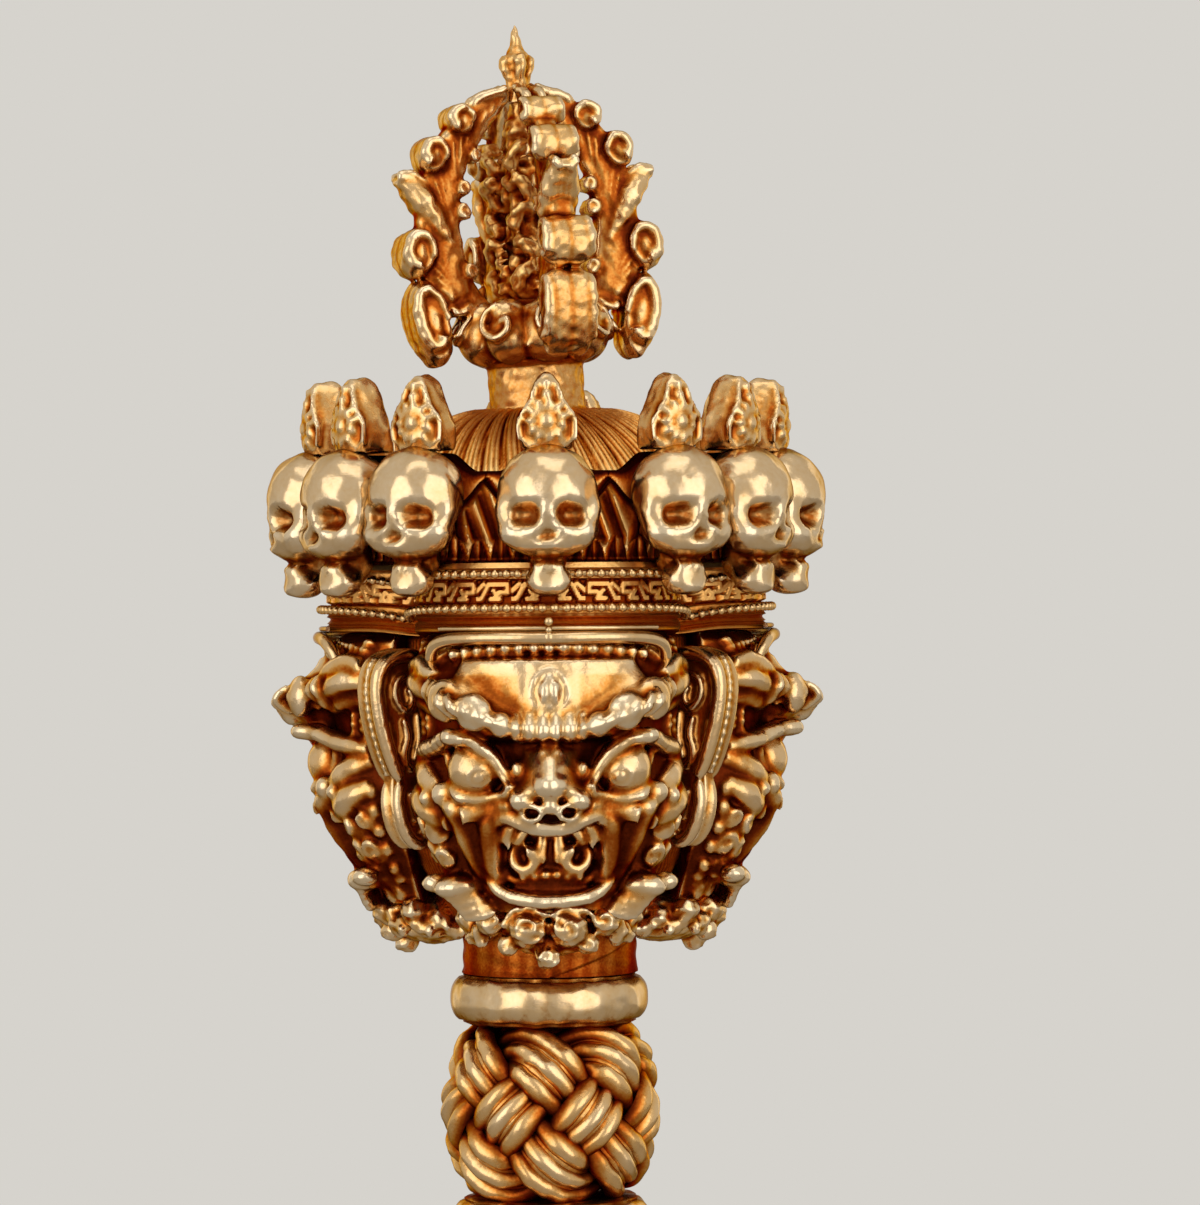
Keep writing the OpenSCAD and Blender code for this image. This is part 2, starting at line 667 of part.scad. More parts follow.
// Jewel: a thick pointed petal with a rounded back, seated on its skull and the wall
jewel_front = crown_r + 3.2;
module jewel_outline() {
    r = jewel_w / 2;
    tip = jewel_h - r;
    a = asin(r / tip);
    union() {
        circle(r = r);
        polygon([[r * cos(a), r * sin(a)], [0, tip], [-r * cos(a), r * sin(a)], [0, 0]]);
        translate([-r, -r]) square([2 * r, r]);
    }
}
module jewel_profile() {
    round_r = 1.7;
    union() {
        translate([jewel_front - round_r - 0.1, jewel_h - round_r]) circle(r = round_r);
        polygon([
            [jewel_front, 0], [jewel_front - 0.1, jewel_h - round_r],
            [jewel_front - 2 * round_r, jewel_h - round_r - 0.3], [jewel_front - jewel_t, 0]
        ]);
    }
}
module jewel() {
    translate([0, 0, z_wall_top]) difference() {
        intersection() {
            translate([0, -jewel_front + jewel_t + 1, jewel_w / 2]) rotate([90, 0, 0])
                linear_extrude(height = jewel_t + 2) jewel_outline();
            rotate([90, 0, -90]) translate([0, 0, -jewel_w])
                linear_extrude(height = 2 * jewel_w) jewel_profile();
        }
        translate([0, -skull_out, z_skull_top - skull_r - z_wall_top]) sphere(r = skull_r + seat / 2, $fn = 64);
    }
}
module jewels() {
    color("khaki") for (k = [0:skull_count - 1]) rotate([0, 0, skull_turn(k)]) jewel();
}

// The finial was set a little askew: all of it leans about the crown's floor
module leaning() {
    pivot_z = z_crown + crown_wall;
    translate([0, 0, pivot_z]) rotate([0, -finial_lean, 0]) translate([0, 0, -pivot_z]) children();
}

// Hair: a round cap inside the crown, drawn up to the stem, with a seat for its foot
module hair_dome() {
    floor_z = z_crown + crown_wall;
    rim_r = crown_r - crown_wall - seat;
    rim_z = floor_z + 1.5;
    // Shoulder of hair round the foot of the leaning stem
    shoulder = 1.5;
    top_r = stem_r + shoulder;
    // Centre of the arc through the rim and the top edge
    c = (pow(rim_r, 2) - pow(top_r, 2) + pow(rim_z, 2) - pow(z_stem, 2)) / (2 * (rim_z - z_stem));
    color("chocolate")
    difference() {
        rotate_extrude() intersection() {
            translate([0, c]) circle(r = norm([rim_r, rim_z - c]));
            translate([0, floor_z]) square([rim_r, z_stem - floor_z]);
        }
        leaning() translate([0, 0, z_stem - stem_foot])
            cylinder(r = stem_r + seat / 2, h = 2 * stem_foot);
    }
}

// Stem: a short round column with a thin collar at each end, let into the hair
stem_foot = 0.6;
collar_h = 1;
module finial_stem() {
    color("goldenrod")
    translate([0, 0, z_stem]) rotate_extrude() union() {
        translate([0, -stem_foot]) square([stem_r - 0.4, stem_h + stem_foot]);
        translate([0, -stem_foot]) square([stem_r, collar_h + stem_foot]);
        translate([0, stem_h - collar_h]) square([stem_r, collar_h]);
    }
}

// Lotus: a cup with four swollen lobes, one under each prong
lotus_lobe_r = 2.9;
module lotus_base() {
    color("darkgoldenrod")
    rotate([0, 0, finial_turn]) union() {
        translate([0, 0, z_lotus]) rotate_extrude() polygon([
            [0, 0], [stem_r - 0.2, 0], [stem_r + 1.4, lotus_h * 0.35], [stem_r + 1, lotus_h * 0.75],
            [stem_r - 1.6, lotus_h], [0, lotus_h]
        ]);
        for (a = [0:90:270]) rotate([0, 0, a]) {
            translate([0, -stem_r - 0.6, z_lotus + lotus_h * 0.44]) rotate([90, 0, 0])
                sphere(r = lotus_lobe_r * 0.88, $fn = 48);
            for (s = [-1, 1]) translate([s * 2.5, -stem_r - 0.2, z_lotus + lotus_h * 0.62]) rotate([90, 0, 0])
                sphere(r = lotus_lobe_r * 0.55, $fn = 32);
        }
    }
}

// Prong: an upright leaf bent to the axis, with rolled scrolls down its back
cage_out_r = cage_in_r + prong_w;
hub_r = 1.25;
leaf_steps = 14;
// Inner and outer edges of the leaf; f runs from the root to the tip
function leaf_in(f) =
    [hub_r + (cage_in_r - hub_r) * pow(cos(90 * pow(f, 1.35)), 0.62) * (1 - 0.22 * bump(0, (f - 0.02) / 0.2)),
     z_cage - 0.8 + (cage_h - 1.4) * f];
function leaf_out(f) =
    [hub_r + (cage_out_r - hub_r) * pow(cos(90 * pow(f, 1.9)), 0.6) * (1 - 0.1 * bump(0, f / 0.2)),
     z_cage - 0.8 + cage_h * f];
// Scrolls: place along the outer edge, how far out, and radius
scroll_places = [
    [-0.02, -0.6, 2.1], [0.27, -0.7, 1.75], [0.58, -0.6, 1.2], [0.76, -0.6, 1.45], [0.9, -0.5, 1.25]
];
module prong() {
    union() {
        rotate([90, 0, -90]) translate([0, 0, -prong_t / 2]) linear_extrude(height = prong_t)
            polygon(concat(
                [for (i = [0:leaf_steps]) leaf_in(i / leaf_steps)],
                [for (i = [leaf_steps:-1:0]) leaf_out(i / leaf_steps)]
            ));
        for (p = scroll_places)
            let (at = leaf_out(max(0, p[0])))
            translate([0, 0, p[0] < 0 ? -2.2 : 0])
            translate([-scroll_t / 2, -at[0] - p[1], at[1]]) rotate([0, 90, 0])
                cylinder(r = p[2], h = scroll_t, $fn = 48);
        // Long curl that hangs from the lowest scroll
        translate([-scroll_t / 2, -leaf_out(0)[0] + 0.1, leaf_out(0)[1] - 1.6]) rotate([0, 90, 0])
            cylinder(r = 1.7, h = scroll_t, $fn = 48);
    }
}
module prong_at(turn) {
    color("orange") rotate([0, 0, finial_turn + turn]) prong();
}

// Centre prong: a turned spindle with beads, cross-cut like the outer ones
module centre_prong() {
    color("peru")
    translate([0, 0, z_cage]) rotate_extrude() intersection() {
        union() {
            square([1, cage_h - 1.7]);
            translate([0, 1.9]) circle(r = 2.6, $fn = 64);
            translate([0, cage_h * 0.3]) circle(r = 2.1, $fn = 64);
            polygon([
                [0, cage_h * 0.38], [1.4, cage_h * 0.4], [2.6, cage_h * 0.52],
                [1.3, cage_h * 0.7], [0, cage_h * 0.8]
            ]);
            translate([0, cage_h * 0.78]) circle(r = 1.7, $fn = 48);
        }
        square([4, cage_h]);
    }
}

// Bud: a flared collar and a spike over the tips of the prongs
module finial_bud() {
    color("gold")
    translate([0, 0, z_bud]) rotate([0, 0, finial_turn]) union() {
        rotate_extrude() polygon([
            [0, -1.6], [hub_r - seat, -1.6], [hub_r - seat, 0], [bud_r * 0.8, 0.3], [bud_r * 0.7, 0.9],
            [bud_r * 0.85, bud_h * 0.42], [bud_r * 0.75, bud_h * 0.55], [bud_r * 0.42, bud_h * 0.68],
            [bud_r * 0.36, bud_h * 0.8], [0.08, bud_h], [0, bud_h]
        ]);
        for (a = [0:90:270]) rotate([0, 0, a]) translate([0, -bud_r * 0.78, bud_h * 0.45])
            sphere(r = bud_r * 0.36, $fn = 24);
    }
}

blade();
blade_nagas();
makara_head();
makara_trunks();
makara_eyes();
color("khaki") rounded_ring(z_ring1);  // lower_ring
color("sienna") knot_core(z_knot1);  // lower_knot_core
color("gold") knot_strand(z_knot1);  // lower_knot_strand
color("khaki") rounded_ring(z_ring2);  // grip_lower_ring
grip();
color("khaki") rounded_ring(z_ring3);  // grip_upper_ring
color("sienna") knot_core(z_knot2);  // upper_knot_core
color("gold") knot_strand(z_knot2);  // upper_knot_strand
color("khaki") rounded_ring(z_ring4);  // neck_ring
neck();
head_core();
color("gold") mask();  // face_front
color("gold") rotate([0, 0, face_left_turn]) mask();  // face_left
color("gold") rotate([0, 0, face_right_turn]) mask();  // face_right
color("orange") ears();  // ears_front
color("orange") rotate([0, 0, face_left_turn]) ears();  // ears_left
color("orange") rotate([0, 0, face_right_turn]) ears();  // ears_right
color("darkorange") beard();  // beard_front
color("darkorange") rotate([0, 0, face_left_turn]) beard();  // beard_left
color("darkorange") rotate([0, 0, face_right_turn]) beard();  // beard_right
forehead_bands();
diadem();
bead_wire(z_diadem + diadem_h * 0.26 + bead_d / 2);  // bead_wire_lower
bead_wire(z_diadem + diadem_h * 0.84);  // bead_wire_upper
crown_wall_ring();
skulls();
jewels();
hair_dome();
leaning() finial_stem();
leaning() lotus_base();
leaning() prong_at(0);  // prong_front
leaning() prong_at(90);  // prong_right
leaning() prong_at(180);  // prong_back
leaning() prong_at(270);  // prong_left
leaning() centre_prong();
leaning() finial_bud();
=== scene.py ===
# %% [markdown]
# # A phurba with three faces, in Blender
# A phurba is a ritual dagger: a three-edged iron blade in the jaws of a makara, a grip between two globe
# knots, three wrathful faces, a crown of skulls and a small cage of scrolled prongs on top. The shaft is cast
# in bronze by the lost-wax method, gilded with fire, and rubbed bright on everything that stands proud.
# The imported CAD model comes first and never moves: it says where each piece sits, in one frame, blade point
# down at the origin. Each cell after this one dresses one of its pieces.

# %% Load the frame
import math
import bmesh
import bpy
import numpy as np
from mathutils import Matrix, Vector


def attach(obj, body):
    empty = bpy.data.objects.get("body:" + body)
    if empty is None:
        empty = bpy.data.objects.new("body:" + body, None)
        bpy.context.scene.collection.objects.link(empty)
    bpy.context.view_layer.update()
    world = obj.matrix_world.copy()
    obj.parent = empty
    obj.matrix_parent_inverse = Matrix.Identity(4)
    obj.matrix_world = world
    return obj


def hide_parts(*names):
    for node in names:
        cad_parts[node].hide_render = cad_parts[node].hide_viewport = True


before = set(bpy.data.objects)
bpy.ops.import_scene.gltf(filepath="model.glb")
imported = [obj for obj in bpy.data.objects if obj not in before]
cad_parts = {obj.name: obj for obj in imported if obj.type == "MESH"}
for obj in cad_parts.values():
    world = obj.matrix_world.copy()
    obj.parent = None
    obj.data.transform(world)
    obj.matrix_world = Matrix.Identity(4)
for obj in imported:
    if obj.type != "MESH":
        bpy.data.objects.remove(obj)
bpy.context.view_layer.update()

# %% [markdown]
# All shapes below are worked out in millimetres, because the goldsmith's sizes are easy to read that way,
# and turned to Blender's metres only when a mesh is made. The heights are the same named levels as in the
# CAD source, counted up from the point of the blade.

# %% Sizes shared by many pieces
MM = 0.001
TAU = 2 * math.pi
Z_MAKARA, Z_RING1, Z_KNOT1, Z_RING2, Z_GRIP = 85.0, 109.0, 114.0, 131.2, 136.2
Z_RING3, Z_KNOT2, Z_RING4, Z_NECK, Z_HEAD = 158.3, 163.3, 180.5, 185.5, 190.8
Z_DIADEM, Z_CROWN, Z_WALL_TOP, Z_SKULL_TOP = 219.4, 226.0, 236.6, 237.2
Z_STEM, Z_LOTUS, Z_CAGE, Z_BUD = 240.9, 246.3, 252.3, 273.6
FACE_TURNS = {"front": 0, "left": 240, "right": 120}     # degrees about the axis
THIRDS = (0, 120, 240)                # turns of what repeats on the three sides, degrees
FINIAL_LEAN, LEAN_Z = 3.0, 227.6      # the finial leans to the left about this height, degrees and mm
print("neck at", Z_NECK, "mm, crown at", Z_CROWN, "mm")

# %% [markdown]
# Every new shape is a closed skin over a grid of points: the rows run along the piece and the columns run
# round it. Shapes are kept as two arrays, points and triangles, until they are finished, so they can be
# copied, turned and joined as whole arrays.

# %% Closed skins
def closed_tube(grid):
    """Skin over grid[row, column]: columns close on themselves, each end closes to the mean of its row."""
    rows, cols = grid.shape[:2]
    i, j = np.meshgrid(np.arange(rows - 1), np.arange(cols), indexing="ij")
    a, b = i * cols + j, i * cols + (j + 1) % cols
    sides = np.concatenate([np.stack([a, b, b + cols], -1), np.stack([a, b + cols, a + cols], -1)])
    j = np.arange(cols)
    k = (j + 1) % cols
    low = np.stack([np.full(cols, rows * cols), k, j], -1)
    high = np.stack([np.full(cols, rows * cols + 1), (rows - 1) * cols + j, (rows - 1) * cols + k], -1)
    points = np.concatenate([grid.reshape(-1, 3), [grid[0].mean(0), grid[-1].mean(0)]])
    return points, np.concatenate([sides.reshape(-1, 3), low, high])


def closed_loop(grid):
    """Skin over grid[row, column] that closes on itself both ways, as a ring does."""
    rows, cols = grid.shape[:2]
    i, j = np.meshgrid(np.arange(rows), np.arange(cols), indexing="ij")
    a, b = i * cols + j, i * cols + (j + 1) % cols
    c, d = (i + 1) % rows * cols + j, (i + 1) % rows * cols + (j + 1) % cols
    sides = np.concatenate([np.stack([a, b, d], -1), np.stack([a, d, c], -1)])
    return grid.reshape(-1, 3), sides.reshape(-1, 3)


def join(*forms):
    """Several forms as one: the points in a row, the triangles counted on."""
    starts = np.cumsum([0] + [len(p) for p, _ in forms])
    return np.concatenate([p for p, _ in forms]), np.concatenate([t + s for (_, t), s in zip(forms, starts)])


def moved(form, by=(0, 0, 0), turn=0.0, axis="z", mirror=False):
    """The form mirrored in x if asked, turned about an axis by degrees, then moved by a distance."""
    p, t = form
    if mirror:
        p, t = p * [-1, 1, 1], t[:, ::-1]
    c, s = math.cos(math.radians(turn)), math.sin(math.radians(turn))
    m = {"z": [[c, -s, 0], [s, c, 0], [0, 0, 1]], "x": [[1, 0, 0], [0, c, -s], [0, s, c]],
         "y": [[c, 0, s], [0, 1, 0], [-s, 0, c]]}[axis]
    return p @ np.array(m).T + np.array(by, float), t


def leaned(form):
    """The form turned about the y axis at LEAN_Z, as the CAD model turns the whole finial."""
    return moved(moved(form, (0, 0, -LEAN_Z)), (0, 0, LEAN_Z), -FINIAL_LEAN, "y")


def unit(v):
    """Each row of v at length one."""
    return v / np.maximum(np.linalg.norm(v, axis=-1, keepdims=True), 1e-9)


def smooth_path(points, n):
    """n points along a Catmull-Rom curve through the given ones, evenly in its parameter."""
    p = np.asarray(points, float)
    p = np.concatenate([2 * p[:1] - p[1:2], p, 2 * p[-1:] - p[-2:-1]])
    s = np.linspace(0, len(p) - 3 - 1e-9, n)
    i, u = s.astype(int), (s % 1)[:, None]
    a, b, c, d = p[i], p[i + 1], p[i + 2], p[i + 3]
    return 0.5 * (2 * b + (c - a) * u + (2 * a - 5 * b + 4 * c - d) * u**2 + (3 * b - a - 3 * c + d) * u**3)


def tube(path, radius, sides=10, up=(0, -1, 0), flat=1.0):
    """Round bar along a path: P(s) + r(s) (cos v * side + flat * sin v * out), out lies near up."""
    along = unit(np.gradient(path, axis=0))
    side = unit(np.cross(np.broadcast_to(np.array(up, float), path.shape), along))
    out = np.cross(along, side)
    v = np.linspace(0, TAU, sides, endpoint=False)
    r = np.broadcast_to(np.asarray(radius, float), (len(path),))[:, None, None]
    return closed_tube(path[:, None] + r * (np.cos(v)[None, :, None] * side[:, None]
                                            + flat * np.sin(v)[None, :, None] * out[:, None]))


def swell(n, middle, end, power=0.5):
    """Radius along a bar: end at both ends, middle between: end + (middle - end) sin(180 s)^power."""
    return end + (middle - end) * np.sin(math.pi * np.linspace(0, 1, n)) ** power


def ball(centre, radii, rows=16, cols=24):
    """Ellipsoid: centre + radii * (sin u cos v, sin u sin v, cos u)."""
    u = np.linspace(0.02, math.pi - 0.02, rows)[:, None]
    v = np.linspace(0, TAU, cols, endpoint=False)[None]
    grid = np.stack([np.sin(u) * np.cos(v), np.sin(u) * np.sin(v), np.cos(u) + 0 * v], -1)
    return closed_tube(grid[::-1] * np.broadcast_to(np.asarray(radii, float), (3,)) + np.array(centre, float))


def turned(profile, sides=160, wobble=None):
    """Lathe shape: (r cos a, r sin a, z) for profile points (r, z); wobble(a, z) adds to r."""
    r, z = np.asarray(profile, float).T
    a = np.linspace(0, TAU, sides, endpoint=False)[None]
    r, z = r[:, None] + 0 * a, z[:, None] + 0 * a
    if wobble is not None:
        r = r + wobble(a, z)
    return closed_tube(np.stack([r * np.cos(a), r * np.sin(a), z], -1))


def hill(x, z, at, size):
    """Gaussian hill of height 1: exp(-(dx/size_x)^2 - (dz/size_z)^2)."""
    return np.exp(-((x - at[0]) / size[0]) ** 2 - ((z - at[1]) / size[1]) ** 2)


def ease(low, high, x):
    """Smooth step from 0 at low to 1 at high: 3t^2 - 2t^3."""
    t = np.clip((x - low) / (high - low), 0, 1)
    return t * t * (3 - 2 * t)


def band(low, high, x, soft):
    """1 between low and high, falling to 0 over the soft distance outside them."""
    return ease(low - soft, low, x) * ease(high + soft, high, x)


def around(n):
    """n angles once round the axis, one for each column."""
    return np.linspace(0, TAU, n, endpoint=False)[None]


def upright(r, a, z):
    """Points at the distance r from the axis: (r cos a, r sin a, z)."""
    return np.stack(np.broadcast_arrays(r * np.cos(a), r * np.sin(a), z), -1)


def evenly(values, n):
    """n numbers that run through the given ones in even steps."""
    return np.interp(np.linspace(0, 1, n), np.linspace(0, 1, np.size(values)), np.atleast_1d(values))


def sided(points, side):
    """The points with their first number times side, which is -1 for the mirrored half."""
    return [(side * point[0], *point[1:]) for point in points]


def thrice(form):
    """The form once for each of the three sides."""
    return join(*[moved(form, turn=turn) for turn in THIRDS])


def tapered(points, thick, n=50, end=0.5, power=0.4, sides=10):
    """Round bar through (x, y, z) points, thick in the middle and end * thick at both ends."""
    return tube(smooth_path(points, n), swell(n, thick, thick * end, power), sides, up=(0, 0, 1))


print("one ball has", len(ball((0, 0, 0), 1)[1]), "triangles")

# %% [markdown]
# A cast ornament is one skin of wax: curls and lips grow out of the ground under them without a seam. The
# same is done here with overlapping forms. Blender's Remesh modifier wraps them in one even skin, and a few
# rounds of averaging with the neighbours take off the stair-steps that it leaves.

# %% Fusing forms and finding hollows
def edges_of(tris):
    """Every edge of the triangles once, as pairs of point numbers."""
    e = np.sort(np.concatenate([tris[:, [0, 1]], tris[:, [1, 2]], tris[:, [2, 0]]]), axis=1)
    return np.unique(e, axis=0)


def neighbour_mean(values, edges):
    """For each point, the mean of the values at the points that an edge joins to it."""
    n, (i, j) = len(values), edges.T
    total = [np.bincount(i, values[j, k], n) + np.bincount(j, values[i, k], n)
             for k in range(values.shape[1])]
    return np.stack(total, -1) / np.maximum(np.bincount(edges.ravel(), minlength=n), 1)[:, None]


def relax(form, rounds, share=0.5):
    """Moves each point by a share of the way to its neighbours' mean, a few times over."""
    p, t = form
    e = edges_of(t)
    for _ in range(rounds):
        p = p + share * (neighbour_mean(p, e) - p)
    return p, t


def normals_of(form):
    """Outward direction at each point: the mean of its triangles' normals, by area."""
    p, t = form
    face = np.cross(p[t[:, 1]] - p[t[:, 0]], p[t[:, 2]] - p[t[:, 0]])
    total = np.stack([sum(np.bincount(t[:, c], face[:, k], len(p)) for c in range(3)) for k in range(3)], -1)
    return unit(total)


def fuse(form, voxel, rounds=2):
    """One skin round overlapping closed forms, with faces about as wide as the voxel (mm)."""
    obj = bpy.data.objects.new("wax", plain_mesh("wax", form, 1.0))
    bpy.context.scene.collection.objects.link(obj)
    skin = obj.modifiers.new("skin", "REMESH")
    skin.mode, skin.voxel_size, skin.adaptivity = "VOXEL", voxel, 0.0
    made = obj.evaluated_get(bpy.context.evaluated_depsgraph_get()).to_mesh()
    made.calc_loop_triangles()
    p = np.empty(len(made.vertices) * 3)
    t = np.empty(len(made.loop_triangles) * 3, np.int32)
    made.vertices.foreach_get("co", p)
    made.loop_triangles.foreach_get("vertices", t)
    old = obj.data
    bpy.data.objects.remove(obj)
    bpy.data.meshes.remove(old)
    return relax((p.reshape(-1, 3), t.reshape(-1, 3)), rounds)


def filled(form, rounds=10, share=0.7):
    """Runs wax into the creases: where the smoothed skin lies outside, the point moves out to it."""
    p, t = form
    e, n, q = edges_of(t), normals_of(form), p
    for _ in range(rounds):
        q = q + 0.6 * (neighbour_mean(q, e) - q)
    return p + share * n * np.maximum(np.einsum("ij,ij->i", q - p, n), 0)[:, None], t


def hammered(form, deep=0.1, size=2.2, seed=1):
    """Uneven skin: each point moves along its normal by deep mm times 14 waves about size mm long."""
    p, t = form
    rng = np.random.default_rng(seed)
    waves = unit(rng.normal(size=(14, 3))) * TAU / size * rng.uniform(0.6, 1.5, (14, 1))
    sway = np.sin(p @ waves.T + rng.uniform(0, TAU, 14)).sum(1) / math.sqrt(7)
    return p + normals_of(form) * (deep * sway)[:, None], t


def hollow_of(form, fine=4, broad=40, gain=(1.6, 0.9)):
    """0 on ridges, 0.5 on flats, 1 in hollows: how far the smoothed skin lies outside the real one."""
    p, t = form
    e, n = edges_of(t), normals_of(form)
    out, level, q = np.full(len(p), 0.5), 0, p
    for rounds, weight in ((fine, gain[0]), (broad, gain[1])):
        for _ in range(rounds - level):
            q = q + 0.6 * (neighbour_mean(q, e) - q)
        level = rounds
        out = out + weight * np.einsum("ij,ij->i", q - p, n)
    return np.clip(out, 0, 1)


def plain_mesh(name, form, scale=MM):
    """A Blender mesh from points (in mm) and triangles, through foreach_set."""
    p, t = form
    mesh = bpy.data.meshes.new(name)
    mesh.vertices.add(len(p))
    mesh.vertices.foreach_set("co", (p * scale).ravel())
    mesh.loops.add(t.size)
    mesh.loops.foreach_set("vertex_index", np.ascontiguousarray(t, np.int32).ravel())
    mesh.polygons.add(len(t))
    mesh.polygons.foreach_set("loop_start", np.arange(0, t.size, 3, dtype=np.int32))
    mesh.update(calc_edges=True)
    return mesh


def dress(name, form, finish, hollow=None, crease=50):
    """Makes the finished piece: mesh, shading, hollow attribute, finish, body and its CAD node."""
    material, slot = finish
    mesh = plain_mesh(name, form)
    solid = bmesh.new()
    solid.from_mesh(mesh)
    bmesh.ops.recalc_face_normals(solid, faces=solid.faces)
    solid.to_mesh(mesh)
    solid.free()
    mesh.shade_smooth()
    mesh.set_sharp_from_angle(angle=math.radians(crease))
    if hollow is None:
        hollow = hollow_of(form)
    mesh.attributes.new("hollow", "FLOAT", "POINT").data.foreach_set("value", hollow.astype(np.float32))
    mesh.materials.append(material)
    piece = bpy.data.objects.new(name + "_cast", mesh)
    bpy.context.scene.collection.objects.link(piece)
    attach(piece, "root")
    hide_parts(name)
    print(f"{name}: {len(form[1])} triangles, z {form[0][:, 2].min():.1f} to {form[0][:, 2].max():.1f} mm")
    return piece

# %% [markdown]
# Fire gilding leaves a skin of gold over the whole cast. Handling rubs the high places to a pale, soft shine,
# while the hollows keep the orange-red of the first gilding; their dark browns are painted shade. So one
# finish
# needs one number for each point: how hollow the surface is there, with painted shade added on some pieces.
# Its colours run from pale gold through orange to brown.
# The cast grain is about 0.3 mm across, which is just coarse enough to show.

# %% Node and colour helpers
SHEEN = "#9C8468"                     # what a glancing shine keeps of its light
PATCH_MM, DENT_MM, LINE_MM = 4.0, 1.4, 1.6     # width of the worn patches, the dents and the fine lines


def linear(code):
    """sRGB hex colour as a linear RGBA tuple: ((c + 0.055) / 1.055)^2.4, or c / 12.92 near black."""
    c = [int(code[i:i + 2], 16) / 255 for i in (1, 3, 5)]
    return tuple(v / 12.92 if v <= 0.04045 else ((v + 0.055) / 1.055) ** 2.4 for v in c) + (1.0,)


def add(tree, kind, inputs=None, stops=None, **settings):
    """Adds one node with its settings; an input is a value or a socket; stops fill its colour ramp."""
    node = tree.nodes.new(kind)
    for key, value in settings.items():
        setattr(node, key, value)
    for key, value in (inputs or {}).items():
        if isinstance(value, bpy.types.NodeSocket):
            tree.links.new(value, node.inputs[key])
        else:
            node.inputs[key].default_value = value
    for k, (place, colour) in enumerate(stops or []):
        ramp = node.color_ramp.elements
        stop = ramp[k] if k < 2 else ramp.new(place)
        stop.position, stop.color = place, linear(colour)
    return node


def metal(name, slot, colours, rough, grain_mm=0.3, grain_deep=0.02, patch=0.16, scratch=0.0, ripple=0.06):
    """A metal and its slot. Colour follows the hollows: colours as (place, hex), rough as ridge, hollow."""
    material = bpy.data.materials.new(name)
    material.use_nodes = True
    tree = material.node_tree
    tree.nodes.clear()
    where = add(tree, "ShaderNodeTexCoord").outputs["Object"]
    hollow = add(tree, "ShaderNodeAttribute", attribute_name="hollow").outputs["Fac"]
    # Worn patches a few millimetres wide shift the colours up and down the ramp
    patches = add(tree, "ShaderNodeTexNoise", {"Vector": where, "Scale": 1 / (PATCH_MM * MM), "Detail": 4.0,
                                               "Roughness": 0.6})
    grain = add(tree, "ShaderNodeTexNoise", {"Vector": where, "Scale": 1 / (grain_mm * MM), "Detail": 3.0})
    both = add(tree, "ShaderNodeMath", {0: patches.outputs["Fac"], 1: grain.outputs["Fac"]}, operation="ADD")
    shift = add(tree, "ShaderNodeMath", {0: both.outputs[0], 1: 1.0}, operation="SUBTRACT")
    place = add(tree, "ShaderNodeMath", {0: shift.outputs[0], 1: patch, 2: hollow}, operation="MULTIPLY_ADD")
    # The ramp runs from the colour of the rubbed ridges through that of the unrubbed hollows to painted shade
    # at its dark end
    tint = add(tree, "ShaderNodeValToRGB", {"Fac": place.outputs[0]}, stops=colours)
    gloss = add(tree, "ShaderNodeMapRange", {"Value": place.outputs[0], "From Min": 0.3, "From Max": 0.8,
                                             "To Min": rough[0], "To Max": rough[1]})
    # Soft dents of the wax, ripple mm deep, break up the broad shines
    dents = add(tree, "ShaderNodeTexNoise", {"Vector": where, "Scale": 1 / (DENT_MM * MM), "Detail": 1.0,
                                             "Roughness": 0.4})
    height = add(tree, "ShaderNodeMath", {0: dents.outputs["Fac"], 1: ripple / grain_deep,
                                          2: grain.outputs["Fac"]},
                 operation="MULTIPLY_ADD").outputs[0]
    if scratch:
        # Fine lines left by rubbing: noise stretched along one way, 0.1 mm across
        way = add(tree, "ShaderNodeMapping", {"Vector": where, "Rotation": (0.3, 0.5, 0.9),
                                              "Scale": (1.0, 14.0, 14.0)})
        lines = add(tree, "ShaderNodeTexNoise", {"Vector": way.outputs[0], "Scale": 1 / (LINE_MM * MM),
                                                 "Detail": 2.0})
        height = add(tree, "ShaderNodeMath", {0: lines.outputs["Fac"], 1: scratch, 2: height},
                     operation="MULTIPLY_ADD").outputs[0]
    bump = add(tree, "ShaderNodeBump", {"Height": height, "Strength": 1.0, "Distance": grain_deep * MM})
    shader = add(tree, "ShaderNodeBsdfPrincipled", {"Metallic": 1.0, "Base Color": tint.outputs[0],
                                                    "Specular Tint": linear(SHEEN),
                                                    "Roughness": gloss.outputs[0], "Normal": bump.outputs[0]})
    add(tree, "ShaderNodeOutputMaterial", {"Surface": shader.outputs[0]})
    return material, slot

# %% The four finishes
# Gilt bronze: cast, fire-gilt, worn pale on its ridges
GILT = metal("fire_gilt_bronze", "gilt_bronze",
             [(0.0, "#EBD4B0"), (0.4, "#E2B474"), (0.5, "#CF8C40"), (0.6, "#AE5818"), (0.74, "#74290A"),
              (0.95, "#2E0A03")], (0.22, 0.42))
# Burnished gilt: rubbed smooth and pale, with fine scratches and little orange left
BURNISHED = metal("burnished_gilt_bronze", "burnished_gilt",
                  [(0.0, "#E9D3B2"), (0.4, "#DDBA88"), (0.52, "#BC874C"), (0.62, "#9A541C"),
                   (0.78, "#66260A"), (0.96, "#2C0B03")], (0.2, 0.4),
                  grain_mm=0.5, grain_deep=0.012, patch=0.24, scratch=0.5, ripple=0.05)
# Recessed gilt, for the parts that lie back in shade: never rubbed, so it keeps the red-orange of the first
# gilding; its ramp runs darker and redder than the others as painted shade
RECESSED = metal("unrubbed_and_shaded_gilt_bronze", "recessed_gilt",
                 [(0.0, "#EBC07A"), (0.4, "#D08A3E"), (0.5, "#B4601C"), (0.62, "#8A3408"), (0.8, "#561505"),
                  (0.95, "#240502")], (0.3, 0.5), grain_mm=0.25, grain_deep=0.03, patch=0.22)
